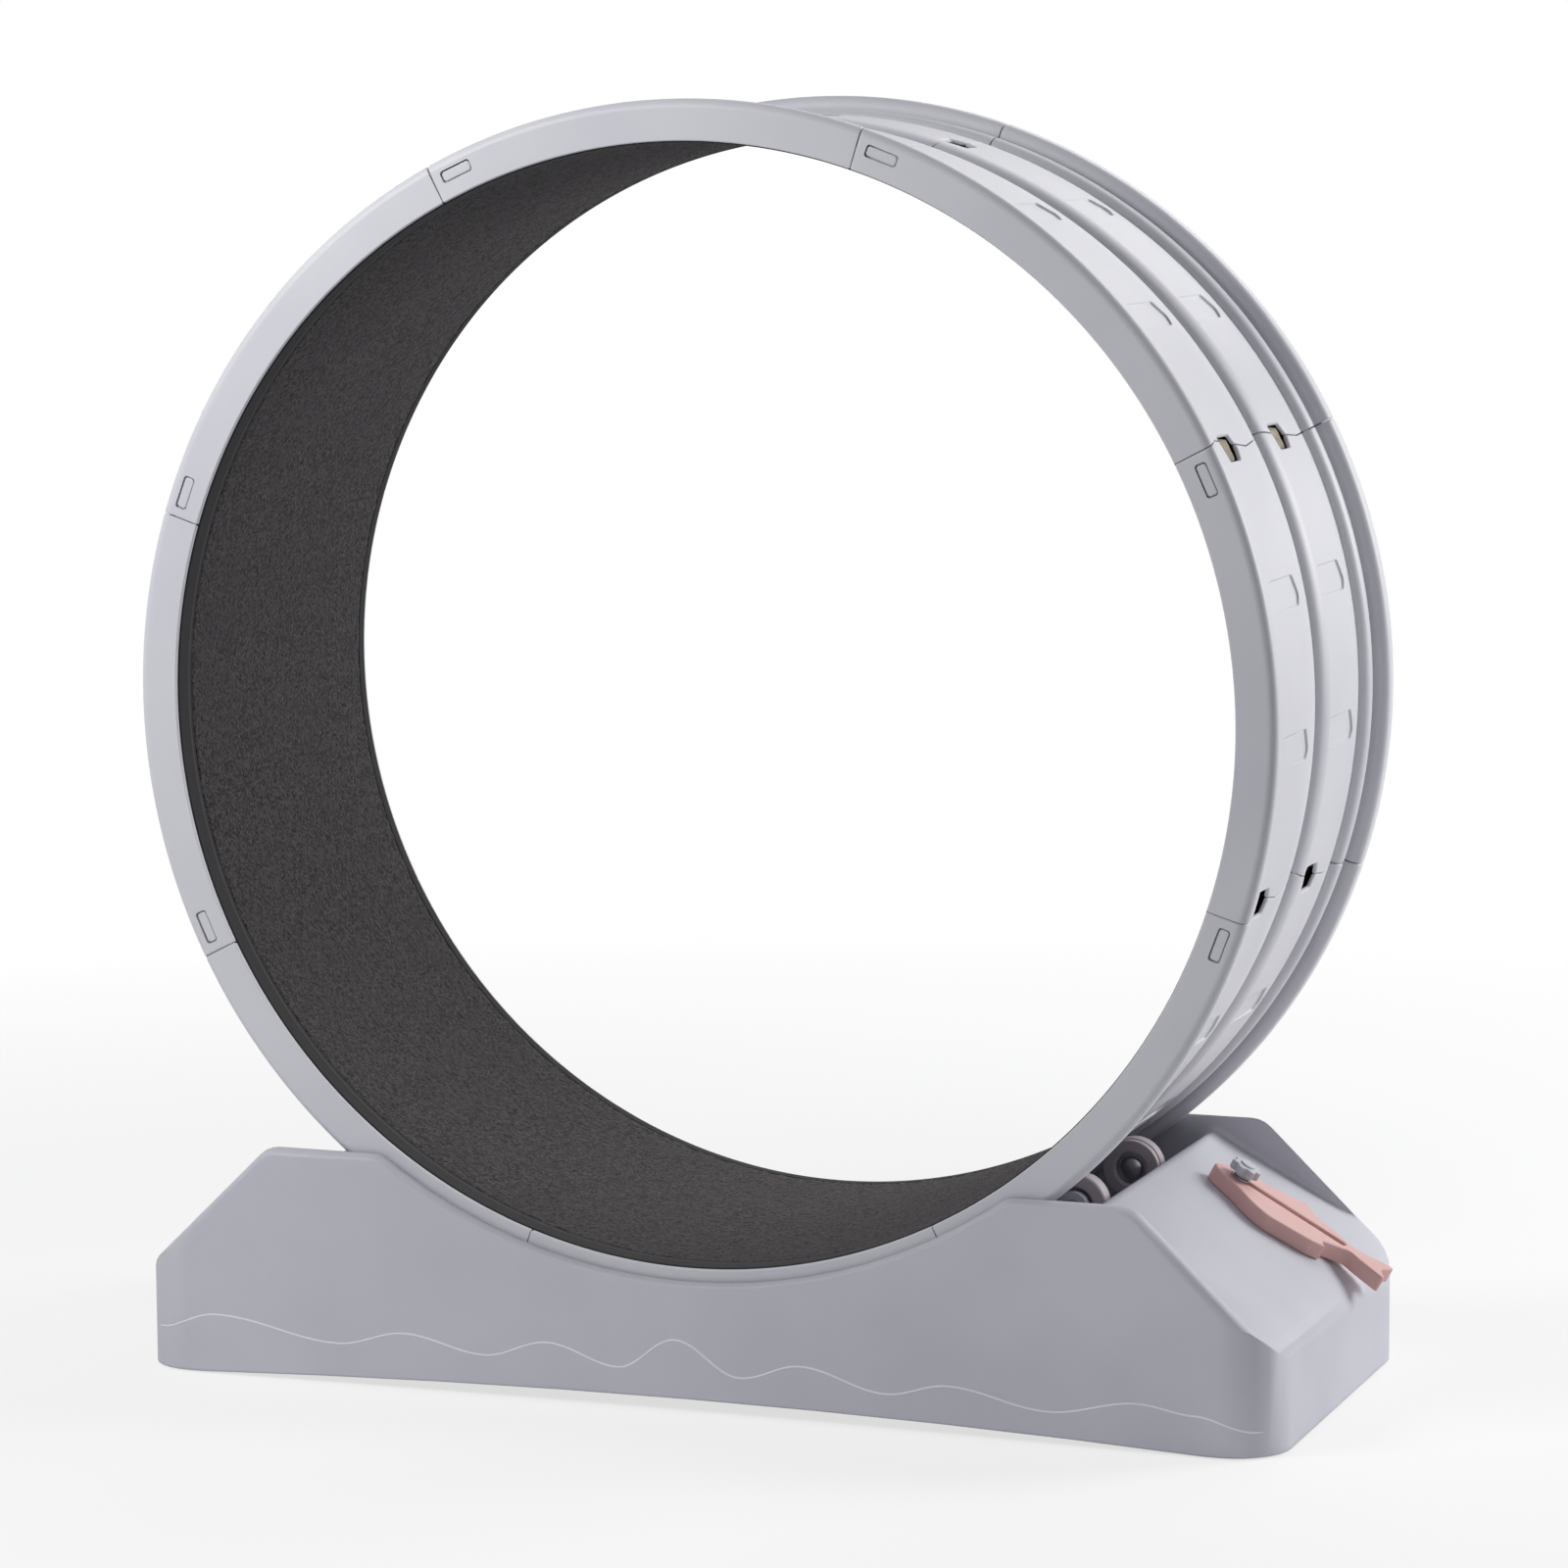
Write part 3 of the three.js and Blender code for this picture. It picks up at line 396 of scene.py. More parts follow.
# Beige pressed felt with clumped fibres.
def feltSheet(name):
    finish = Finish(name, {"Roughness": 1.0, "Sheen Weight": 0.3})
    fibres = finish.noise(1.4, 5, 0.75)
    clumps = finish.noise(9, 3)
    share = finish.between(clumps + 0.5 * fibres, 0.5, 1.0)
    colour = finish.blended(share, tone(150, 138, 116), tone(206, 194, 170))
    finish.surface(Base_Color=colour, Normal=finish.bumped(fibres, 1.2))
    return finish.material


# Bright steel with fine tool marks and smears.
def turnedSteel(name):
    finish = Finish(name, {"Metallic": 1.0, "IOR": 2.5})
    marks = finish.noise(0.35, 4, 0.65)
    smears = finish.noise(6, 3)
    colour = finish.blended(finish.between(smears, 0.35, 0.75), tone(176, 177, 180), tone(140, 141, 146))
    finish.surface(Base_Color=colour, Roughness=0.2 + 0.2 * marks, Normal=finish.bumped(marks, 0.02))
    return finish.material


# Black rubber with a little dust.
def footRubber(name):
    finish = Finish(name, {"IOR": 1.5})
    dust = finish.between(finish.noise(7, 4, 0.7), 0.5, 0.8)
    grain = finish.noise(0.6, 2)
    colour = finish.blended(dust * 0.5, tone(34, 34, 36), tone(84, 82, 82))
    finish.surface(Base_Color=colour, Roughness=0.75 + 0.15 * grain, Normal=finish.bumped(grain, 0.08))
    return finish.material


ringPlastic = mouldedPlastic("ringPlastic", mouldedLook["ring"])
basePlastic = mouldedPlastic("basePlastic", mouldedLook["base"], corner=3.0)
linePlastic = mouldedPlastic("linePlastic", mouldedLook["line"])
knobPlastic = mouldedPlastic("knobPlastic", mouldedLook["knob"], 0.6)
fishPlastic = mouldedPlastic("fishPlastic", mouldedLook["fish"], 0.7)
tyrePlastic = mouldedPlastic("tyrePlastic", mouldedLook["tyre"], 0.6)
pile = loopPile("charcoalLoopPile")
frontTape = wovenTape("frontTape", -169.0)
rearTape = wovenTape("rearTape")
felt = feltSheet("beigeFelt")
steel = turnedSteel("turnedSteel")
rubber = footRubber("blackRubber")
print("materials made")


# The camera, with its place and lens in millimetres and its turns in degrees.
view = dict(place=(1602.8, -4312.5, 1105.5), yaw=20.37, down=7.456, roll=-0.317, lens=124.63)


def makeCamera():
    yaw, down, roll = (math.radians(view[key]) for key in ("yaw", "down", "roll"))
    ahead = Vector((-math.sin(yaw) * math.cos(down), math.cos(yaw) * math.cos(down), -math.sin(down)))
    level = Vector((math.cos(yaw), math.sin(yaw), 0))
    upright = level.cross(ahead)
    right = level * math.cos(roll) + upright * math.sin(roll)
    up = upright * math.cos(roll) - level * math.sin(roll)
    data = bpy.data.cameras.new("camera")
    data.lens = view["lens"]
    data.sensor_width = 36
    data.clip_end = 60
    camera = bpy.data.objects.new("camera", data)
    turn = Matrix((right, up, -ahead)).transposed()
    camera.matrix_world = Matrix.Translation(Vector(view["place"]) * mm) @ turn.to_4x4()
    bpy.context.scene.collection.objects.link(camera)
    bpy.context.scene.camera = camera


makeCamera()


# The ring, in millimetres and degrees. Angles run clockwise from the top, seen from the front.
ring = dict(
    segments=8,
    firstSeam=18,
    gap=0.7,
    half=192,
    rim=500,
    face=466,
    band=485,
    ridge=488.5,
    groove=480,
    valley=476,
    wall=3.2,
    flange=3.5,
    barrelEdge=1.3,  # rounding where a segment ends, on the barrel
    faceEdge=0.35,  # and on the two side faces
    seam=[
        (-192, 0), (-177, -3), (-128, -9), (-90.5, 4), (-45, 3), (7, -2.5),
        (18, -7), (73, 5.5), (110, 4.5), (157, 1.5), (192, 0),
    ],
)
sweep = 360 / ring["segments"]
latch = dict(
    places=(-96, 57),  # across the ring, at every seam
    outline=[
        (-9.6, -17.5, 2), (-9.4, 16, 3.5), (2, 24, 4), (12.8, 19, 3), (12.6, -9.5, 2.5), (1, -13, 4),
    ],
    flare=2.8,
    flareWide=1.3,
    reach=(455, 508),
)
window = dict(start=8, length=28.5, inner=479.5, outer=489.9, corner=2.5, gap=1.1, recess=0.9, cut=(-4, 5))
tongue = dict(
    low=(-24, 475.7), high=(40, 489), corner=1.0, thick=3.2, gap=0.4, edge=0.4, padRoot=1, padEdge=0.8,
)
thumb = dict(
    angles=(15, 30), width=27, spans=((-118, -33), (33, 112)), depth=2.0, lip=0.3, slope=9, bevel=1.5,
    shoulders=(7, 11), peak=5, radii=(4, 20, 5), above=0.06, reach=4,
)


# How far a seam runs out of line, along the rim, at a place across the ring.
def seamShift(y):
    places, shifts = zip(*ring["seam"])
    return np.interp(y, places, shifts)


# A quarter of an ellipse between two points (y, radius), steep at one end and level at the other.
def quarter(start, end, steepFirst, steps=7):
    (y0, r0), (y1, r1) = start, end
    points = []
    for turn in np.linspace(0, math.pi / 2, steps + 1):
        if steepFirst:
            points.append((y1 + (y0 - y1) * math.cos(turn), r0 + (r1 - r0) * math.sin(turn), 0))
        else:
            points.append((y0 + (y1 - y0) * math.sin(turn), r1 + (r0 - r1) * math.cos(turn), 0))
    return points


# The shell's section, its outer skin from front to rear and then the inner skin back.
def segmentSection():
    half, rim, face, band, wall = (ring[key] for key in ("half", "rim", "face", "band", "wall"))
    ridge, groove, valley = ring["ridge"], ring["groove"], ring["valley"]
    outer = [
        (-half, face, 1.2), (-half, rim, 12), (-176, rim, 16), (-136, band, 22),
        *quarter((-45, band), (7, valley), False),
        *quarter((18, valley), (36, band), True),
        *quarter((110, band), (138, groove), False),
        *quarter((147, groove), (157, ridge), True),
        (161, ridge, 0.6), (164, groove, 2), (170, groove, 2),
        *quarter((170, 490), (178, rim), True),
        (half, rim, 6), (half, face, 1.2),
    ]
    inside = half - ring["flange"]
    inner = [
        (inside, face), (inside, 494), (inside - 4, rim - wall), (179, rim - wall), (173.2, 488),
        (173.2, groove - wall), (159, groove - wall), (157, ridge - wall), (153, groove - wall),
        (135, groove - wall), (110, band - wall), (37, band - wall), (22.2, 478), (21.2, valley - wall),
        (4, valley - wall), (-3, 476.6), (-21, 480.4), (-45, band - wall), (-135, band - wall),
        (-172, 494.8), (-182.5, rim - wall), (-inside, 491), (-inside, face),
    ]
    return filleted(outer + [(y, r, 0) for y, r in inner], 9)


# A cutter that opens with a quarter round into the band's surface.
def latchCutter(index, seamAt):
    outline = filleted(latch["outline"])
    flare = latch["flare"]
    wide = -latch["flareWide"]
    low, high = latch["reach"]
    levels = [(low, 0)]
    for k in range(7):
        turn = math.pi / 2 * k / 6
        height = ring["band"] - flare * (1 - math.sin(turn)) + 0.02
        levels.append((height, wide * flare * (1 - math.cos(turn))))
    levels.append((high, wide * flare))
    rings = stacked(outline, levels)
    rings += np.array([0, latch["places"][index], 0])
    points, faces = skin(rings)
    return onWheel(points, seamAt), faces


# A window's outline (along, out), drawn in on all sides.
def windowOutline(shrink=0.0):
    half = window["length"] / 2 - shrink
    low, high = window["inner"] + shrink, window["outer"] - shrink
    return roundedBox((-half, low), (half, high), window["corner"])


windowTurn = math.degrees((window["start"] + window["length"] / 2) / ring["band"])


# A stack (along, out, y) set in one of the two side faces.
def inFace(rings, side, degrees):
    points, faces = skin(rings)
    along, out, depth = points.T
    return onWheel(np.column_stack([along, side * depth, out]), degrees), faces


# A shallow sunk field in a band, level with it at the front, with a bulged rear end.
def thumbCutter(span, degrees):
    low, high = span
    half = thumb["width"] / 2
    near, far = thumb["shoulders"]
    rearEnd = [(half, high - near), (thumb["peak"], high), (-half, high - far)]
    rounded = [(along, across, radius) for (along, across), radius in zip(rearEnd, thumb["radii"])]
    outline = filleted([(-half, low, 0), (half, low, 0), *rounded])
    share = np.clip((outline[:, 1] - low) / thumb["slope"], 0, 1)
    top = ring["band"] + thumb["above"]
    floor = top - thumb["lip"] - (thumb["depth"] - thumb["lip"]) * share
    foot = outline - outward(outline) * thumb["bevel"]
    levels = [(foot, floor), (outline, top), (outline, ring["band"] + thumb["reach"])]
    rings = np.array([np.column_stack([plan, np.broadcast_to(level, len(plan))]) for plan, level in levels])
    points, faces = skin(rings)
    return onWheel(points, degrees), faces


# A segment's skin, with the corners rounded where it meets the next one.
def segmentSkin():
    outline = segmentSection()
    away = outward(outline)
    onFace = (np.abs(outline[:, 0]) > ring["half"] - 0.1) & (outline[:, 1] < ring["band"])
    edge = np.where(onFace, ring["faceEdge"], ring["barrelEdge"])
    perLength = 180 / math.pi / ring["band"]
    rings = []
    turns = [math.radians(30 * k) for k in range(4)]
    ends = [(edge * (1 - math.cos(t)), edge * (1 - math.sin(t))) for t in turns]
    places = [(ring["gap"] / 2 + along, inset) for along, inset in ends]
    lengths = [(along * perLength, inset) for along, inset in places]
    lengths += [(np.full(len(edge), float(k)), 0 * edge) for k in range(1, int(sweep))]
    lengths += [(sweep - along * perLength, inset) for along, inset in reversed(places)]
    for degrees, inset in lengths:
        flat = outline - away * inset[:, None]
        turn = np.radians(degrees) + seamShift(flat[:, 0]) / ring["band"]
        rings.append(np.column_stack([flat[:, 1] * np.sin(turn), flat[:, 0], flat[:, 1] * np.cos(turn)]))
    return skin(axle + np.array(rings) * mm)


# The next segment's window shows this one's tongue, with a raised pad that fills it.
def tongueSkin(side):
    away = ring["half"] - ring["flange"] - tongue["gap"]
    outline = roundedBox(tongue["low"], tongue["high"], tongue["corner"])
    levels = softEdges(away - tongue["thick"], away, tongue["edge"], 2)
    flat = inFace(stacked(outline, levels), side, sweep)
    levels = softEdges(away - tongue["padRoot"], ring["half"] - window["recess"], tongue["padEdge"])
    pad = inFace(stacked(windowOutline(window["gap"]), levels), side, sweep + windowTurn)
    return together(flat, pad)


# One segment is cut once and then copied round the axle.
def makeSegments():
    body = newObject("segmentBody", *segmentSkin())
    cutters = [latchCutter(i, at) for i in range(2) for at in (0, sweep)]
    cutters += [thumbCutter(span, angle) for span in thumb["spans"] for angle in thumb["angles"]]
    opening = stacked(windowOutline(), [(ring["half"] + reach, 0) for reach in window["cut"]])
    cutters += [inFace(opening, side, windowTurn) for side in (-1, 1)]
    cutter = newObject("segmentCutter", *together(*cutters))
    cut = body.modifiers.new("openings", "BOOLEAN")
    cut.object = cutter
    cut.solver = "EXACT"
    ready = body.evaluated_get(bpy.context.evaluated_depsgraph_get())
    shell = bpy.data.meshes.new_from_object(ready)
    tongues = newObject("segmentTongues", *together(tongueSkin(-1), tongueSkin(1)))
    work = bmesh.new()
    work.from_mesh(shell)
    work.from_mesh(tongues.data)
    work.to_mesh(shell)
    work.free()
    for scrap in (body, cutter, tongues):
        bpy.data.objects.remove(scrap)
    centre = Matrix.Translation(Vector(axle))
    for i in range(ring["segments"]):
        turn = Matrix.Rotation(math.radians(ring["firstSeam"] + i * sweep), 4, "Y")
        mesh = shell.copy()
        mesh.transform(centre @ turn @ centre.inverted())
        segment = bpy.data.objects.new(f"ringSegment{i + 1}", mesh)
        bpy.context.scene.collection.objects.link(segment)
        smoothed(segment, 28)
        fitted(segment, "wheel", ringPlastic, "ring_plastic", f"ring_segment_{i + 1}")
    print("ring segments:", len(shell.vertices), "points each")


makeSegments()


# The tread: a felt strip, the carpet on it and a binding along each side.
tread = dict(
    half=188.2, pileInner=464.5, pileOuter=468, frontBinding=25, rearBinding=12, feltInner=468.4,
    feltOuter=470.9, joint=355, jointGap=1.6, pitch=3.2, loopHeight=0.9, clear=0.2, edgeDrop=1.2, crown=0.5,
)
wheelMiddle = np.array([axle[0], 0, axle[2]])


# Angles along a strip, about a step apart, from one side of the joint to the other.
def treadAngles(step):
    half = math.degrees(tread["jointGap"] / 2 / tread["pileOuter"])
    count = round((360 - 2 * half) * math.radians(1) * tread["pileOuter"] / step)
    return np.linspace(tread["joint"] + half, tread["joint"] + 360 - half, count)


# Moves the given columns of the rings' points away from the axle, each point by its own length.
def pushedOut(rings, columns, lengths):
    arms = rings[:, columns] - wheelMiddle
    arms[:, :, 1] = 0
    rings[:, columns] += arms / np.linalg.norm(arms, axis=2, keepdims=True) * lengths[:, :, None] * mm


def makeCarpet():
    low = -tread["half"] + tread["frontBinding"] + tread["clear"]
    high = tread["half"] - tread["rearBinding"] - tread["clear"]
    inner, outer = tread["pileInner"], tread["pileOuter"]
    shoulder = inner + tread["edgeDrop"]
    count = round((high - low) / tread["pitch"])
    pileSide = [(y, inner) for y in np.linspace(low + 0.8, high - 0.8, count)]
    backSide = [(y, outer) for y in (high, *np.linspace(high - 12, low + 12, 14), low)]
    outline = np.array([*pileSide, (high, shoulder), *backSide, (low, shoulder)])
    rings = carried(outline, treadAngles(tread["pitch"]))
    lumps = np.random.default_rng(11).uniform(0.0, tread["loopHeight"], (len(rings), count))
    pushedOut(rings, slice(0, count), lumps)
    carpet = newObject("treadCarpet", *skin(rings))
    return smoothed(carpet, 80, weighted=False)


def makeBinding(name, low, high):
    inner, outer = tread["pileInner"] + 0.5, tread["pileOuter"]
    outline = filleted([(low, inner, 1.4), (high, inner, 1.4), (high, outer, 0.4), (low, outer, 0.4)])
    crown = tread["crown"] * (1 - ((outline[:, 0] - (low + high) / 2) / ((high - low) / 2)) ** 2)
    outline[:, 1] -= np.where(outline[:, 1] < inner + 0.5, crown, 0)
    binding = newObject(name, *skin(carried(outline, treadAngles(8))))
    return smoothed(binding, 50)


# Where the felt is pressed out into the latch holes, by seam from the first one clockwise.
swell = dict(height=(8, 10.6, 2, 7, 9, 5, 8, 6), half=(13, 19), fall=5, middle=(2, 2))


def swellAt(across, degrees):
    total = np.zeros(np.broadcast(across, degrees).shape)
    for i, height in enumerate(swell["height"]):
        away = (degrees - ring["firstSeam"] - i * sweep + 180) % 360 - 180
        along = np.radians(away) * ring["band"] - swell["middle"][0]
        for place in latch["places"]:
            sideways = across - place - swell["middle"][1]
            beyond = np.hypot(
                np.maximum(np.abs(along) - swell["half"][0] + swell["fall"], 0),
                np.maximum(np.abs(sideways) - swell["half"][1] + swell["fall"], 0),
            )
            total += height * np.sqrt(np.clip(1 - (beyond / swell["fall"]) ** 2, 0, 1))
    return total


# The felt, smooth on the carpet's side and fuzzy on the ring's side.
def makeUnderlay():
    half, inner, outer = tread["half"] - 0.3, tread["feltInner"], tread["feltOuter"]
    inside = [(y, inner) for y in np.linspace(-half, half, 10)]
    outside = [(y, outer) for y in np.linspace(half, -half, 120)]
    angles = treadAngles(3.4)
    rings = carried(np.array(inside + outside), angles)
    fuzzy = slice(len(inside), None)
    across = rings[:, fuzzy, 1] / mm
    fuzz = np.random.default_rng(5).uniform(-0.5, 0.0, across.shape)
    pushedOut(rings, fuzzy, fuzz + swellAt(across, angles[:, None]))
    return smoothed(newObject("treadUnderlay", *skin(rings)), 80, weighted=False)


carpet = fitted(makeCarpet(), "wheel", pile, "carpet", "tread_carpet")
front = makeBinding("frontBinding", -tread["half"], -tread["half"] + tread["frontBinding"])
rear = makeBinding("rearBinding", tread["half"] - tread["rearBinding"], tread["half"])
fitted(front, "wheel", frontTape, "binding", "front_binding")
fitted(rear, "wheel", rearTape, "binding", "rear_binding")
underlay = fitted(makeUnderlay(), "wheel", felt, "felt", "tread_underlay")
print("tread made")


# A copy of a CAD piece, with the triangles of each flat face joined.
def nodeCopy(node, name, flatWithin=0.3):
    mesh = frame["nodes"][node].data.copy()
    mesh.name = name
    work = bmesh.new()
    work.from_mesh(mesh)
    bmesh.ops.remove_doubles(work, verts=work.verts, dist=0.005 * mm)
    bmesh.ops.dissolve_limit(
        work, angle_limit=math.radians(flatWithin), verts=work.verts, edges=work.edges, delimit={"NORMAL"}
    )
    bmesh.ops.recalc_face_normals(work, faces=work.faces)
    work.to_mesh(mesh)
    work.free()
    if "custom_normal" in mesh.attributes:
        mesh.attributes.remove(mesh.attributes["custom_normal"])
    made = bpy.data.objects.new(name, mesh)
    bpy.context.scene.collection.objects.link(made)
    return made


baseShell = smoothed(nodeCopy("base_shell", "baseShell"), 35)
fitted(baseShell, "base", basePlastic, "base_plastic", "base_shell")

# The base's outline from above, and the thin raised line along its front wall.
basePlan = dict(halfLength=507, halfDepth=207.5, waist=5, corner=48)
wave = dict(
    wide=1.7,
    proud=0.4,
    turns=[
        (-492, 36), (-432, 52), (-318, 35), (-257, 48), (-183, 35), (-126, 50), (-62, 34), (-11, 61),
        (47, 33), (100, 47), (176, 30), (229, 41), (316, 27), (392, 40), (439, 34), (493, 22),
    ],
)


# Where the base's front wall stands, by its place along X.
def frontWall(x):
    flat = basePlan["halfLength"] - basePlan["corner"]
    if abs(x) <= flat:
        return -(basePlan["halfDepth"] - basePlan["waist"] * (1 - (x / flat) ** 2))
    past = min(abs(x) - flat, basePlan["corner"] - 0.5)
    return -(basePlan["halfDepth"] - basePlan["corner"] + math.sqrt(basePlan["corner"] ** 2 - past**2))


# The line's turning points (along, up) are joined by half waves.
def makeWave():
    path = []
    turns = wave["turns"]
    for (x0, z0), (x1, z1) in zip(turns, turns[1:]):
        steps = max(6, round(abs(x1 - x0) / 5))
        for k in range(steps):
            share = k / steps
            path.append((x0 + (x1 - x0) * share, z0 + (z1 - z0) * (1 - math.cos(math.pi * share)) / 2))
    path.append(turns[-1])
    rings = []
    for i, (x, z) in enumerate(path):
        x0, z0 = path[max(i - 1, 0)]
        x1, z1 = path[min(i + 1, len(path) - 1)]
        y0, y1 = frontWall(x0), frontWall(x1)
        along = Vector((x1 - x0, y1 - y0, z1 - z0)).normalized()
        out = Vector((y1 - y0, -(x1 - x0), 0)).normalized()
        side = along.cross(out)
        ends = 0.35 if i in (0, len(path) - 1) else 1
        middle = Vector((x, frontWall(x), z))
        section = []
        for k in range(8):
            turn = 2 * math.pi * k / 8
            sideways = side * math.cos(turn) * wave["wide"] / 2 * ends
            section.append(middle + sideways + out * math.sin(turn) * wave["proud"] * ends)
        rings.append(section)
    shifted = np.array(rings) + np.array([axle[0] / mm, 0, 0])
    return smoothed(newObject("frontWaveLine", *skin(shifted * mm)), 60)


def softened(made, width, segments):
    softer = made.modifiers.new("softEdge", "BEVEL")
    softer.width = width * mm
    softer.segments = segments
    softer.limit_method = "ANGLE"
    return made


fitted(makeWave(), "base", linePlastic, "base_plastic")
for node in [n for n in frame["nodes"] if n.startswith("foot_")]:
    side, end = node.split("_")[1:]
    foot = softened(nodeCopy(node, "foot" + side.title() + end.title()), 0.8, 3)
    fitted(smoothed(foot, 50), "base", rubber, "foot_rubber", node)
print("base made")


# The rollers, each a tyre on a ball bearing on its bolt.
roller = dict(radius=26, width=19, bearing=13, bearingWidth=9, bolt=4, head=9.4, headHigh=4.2, post=8)


# Outlines (radius, across) with a corner radius for each point. The bolt's head is on the minus side.
def tyreOutline():
    half, r, bore = roller["width"] / 2, roller["radius"], roller["bearing"] + 0.3
    corners = [
        (bore, half - 2, 0.6), (bore, -half + 2, 0.8), (bore + 2.2, -half, 0.8), (r - 1.3, -half, 1.0),
        (r - 0.7, -half + 4.2, 0.4), (r - 1.9, -half + 5.0, 0.3), (r - 1.9, -half + 5.8, 0.3),
        (r, -half + 6.4, 0.6), (r, half - 1.5, 1.2), (r - 1.4, half, 0.8), (bore + 2.2, half, 0.8),
    ]
    return filleted(corners, 20)


def bearingOutline():
    half, outer, bore = roller["bearingWidth"] / 2, roller["bearing"], roller["bolt"] + 0.3
    corners = [
        (bore, half, 0.3), (bore, -half, 0.3), (bore + 2.2, -half, 0.3), (bore + 2.4, -half + 0.9, 0.1),
        (outer - 2.7, -half + 0.9, 0.1), (outer - 2.5, -half, 0.3), (outer, -half, 0.4), (outer, half, 0.4),
    ]
    return filleted(corners, 24)


def boltOutline():
    back = -roller["bearingWidth"] / 2 - 0.3
    tip = roller["width"] / 2 + 1.5 + roller["post"] + 9
    head, high, shank = roller["head"], roller["headHigh"], roller["bolt"]
    rises = np.linspace(0.12, math.pi / 2, 9)
    dome = [(head * math.cos(t), back - 1.2 - (high - 1.2) * math.sin(t), 0) for t in rises]
    stem = [(0, tip, 0), (shank - 0.6, tip, 0), (shank, tip - 0.6, 0), (shank, back, 0)]
    return filleted([*stem, (head, back, 0.3), *dome], 24)


def makeRoller(tag, end):
    centre = np.array(jointNamed(f"roller_{tag}_spin")["pos_m"])
    facing = np.array([1, 1 if centre[1] > 0 else -1])  # the bolt's head looks to the wheel's middle
    body = f"roller_{tag}"
    tyre = newObject("tyre" + end, *turned(tyreOutline() * facing, centre, 72))
    fitted(smoothed(tyre, 35), body, tyrePlastic, "tyre", f"roller_tyre_{tag}")
    bearing = newObject("bearing" + end, *turned(bearingOutline() * facing, centre, 48))
    fitted(smoothed(bearing, 35), body, steel, "steel", f"roller_bearing_{tag}")
    bolt = newObject("bolt" + end, *turned(boltOutline() * facing, centre, 40))
    fitted(smoothed(bolt, 35), "base", steel, "steel", f"roller_bolt_{tag}")


for side in ("front", "rear"):
    for end in ("left", "right"):
        makeRoller(f"{side}_{end}", side.title() + end.title())
for node in [n for n in frame["nodes"] if "_nut" in n]:
    parts = [word.title() for word in node.split("_")]
    nut = softened(nodeCopy(node, "nut" + "".join(parts)), 0.4, 2)
    fitted(smoothed(nut, 40), bodyOf[node], steel, "steel", node)
print("rollers made")


# The brake: places are down the ramp from its crest, along the axle and out of the ramp.
slide = Vector(jointNamed("brake_slide")["axis"]).normalized()
downRamp = -slide
outOfRamp = Vector((-downRamp.z, 0, downRamp.x))
screw = dict(alongRamp=65.4, across=73)
knobAt = Vector(jointNamed("knob_turn")["pos_m"])
crest = knobAt - downRamp * screw["alongRamp"] * mm - Vector((0, screw["across"] * mm, 0))

fish = dict(
    head=39.4, thick=14, lift=0.3, edge=1.9, chamfer=0.8, slotWide=8, slotStart=61.2, slotEnd=171,
    outline=[
        (0, 0, 8), (5, -9, 12), (15, -16, 40), (30, -22.5, 40), (47, -36, 30), (57, -42, 30), (69, -46, 12),
        (92, -43, 30), (110, -40, 9), (122, -33.5, 1.5), (116, -24.5, 2), (129, -14, 12), (138, -7, 14),
        (147, -12, 20), (162, -17, 20), (178, -22, 2), (168, -3, 8), (176, 18, 2), (168, 17, 12),
        (149, 9, 20), (138, 7, 14), (116, 18, 20), (97, 23, 8), (87, 35, 14), (79, 43, 2.5), (75, 36, 8),
        (62, 31, 30), (41, 25, 40), (20, 18, 20), (6, 10, 12),
    ],
)


# Points (down the ramp, along the axle, out of the ramp) in metres.
def onRamp(points):
    u, v, w = np.asarray(points, float).T[:, :, None] * mm
    return np.array(crest) + u * np.array(downRamp) + v * np.array([0, 1, 0]) + w * np.array(outOfRamp)


def makeFish():
    place = np.array([fish["head"], screw["across"]])
    outline = filleted(fish["outline"], 12) + place
    half = fish["slotWide"] / 2
    start, end, middle = fish["slotStart"], fish["slotEnd"], screw["across"]
    slot = roundedBox((start, middle - half), (end, middle + half), half - 0.01)
    top = fish["lift"] + fish["thick"]
    soft = [math.pi / 2 * k / 5 for k in range(6)]
    edge = fish["edge"]
    chamfer = fish["chamfer"]
    levels = [(fish["lift"], chamfer), (fish["lift"] + chamfer, 0)]
    levels += [(top - edge * (1 - math.sin(t)), edge * (1 - math.cos(t))) for t in soft]
    points, faces = plate(outline, [slot], levels)
    return smoothed(newObject("brakeFish", onRamp(points), faces), 38)


knob = dict(radius=13.5, lobes=7, notch=2.9, foot=16.4, neck=3, neckRadius=7, depth=8, raised=1.6, button=6.6)
washer = dict(outer=9, hole=3.4, foot=14.6, top=16.1, edge=0.3)


def aroundScrew(turns, reach):
    down = screw["alongRamp"] + reach * np.cos(turns)
    across = screw["across"] + reach * np.sin(turns)
    return np.column_stack([down, across])


def roundAbout(radius, sides=48):
    return aroundScrew(np.linspace(0, 2 * math.pi, sides, endpoint=False), radius)


# The star's outline, round lobes with a notch between each two.
def knobStar():
    turns = np.linspace(0, 2 * math.pi, knob["lobes"] * 14, endpoint=False)
    wavy = (0.5 - 0.5 * np.cos(knob["lobes"] * turns)) ** 2.2
    reach = knob["radius"] - knob["notch"] * wavy
    return aroundScrew(turns, reach)


def makeKnob():
    low = knob["foot"] + knob["neck"]
    high = low + knob["depth"]
    star = skin(stacked(knobStar(), softEdges(low, high, 1.3)))
    neck = skin(stacked(roundAbout(knob["neckRadius"]), softEdges(knob["foot"], low + 2, 0.5)))
    button = skin(stacked(roundAbout(knob["button"]), softEdges(high - 3, high + knob["raised"], 1.2)))
    points, faces = together(star, neck, button)
    return smoothed(newObject("knobGrip", onRamp(points), faces), 40)


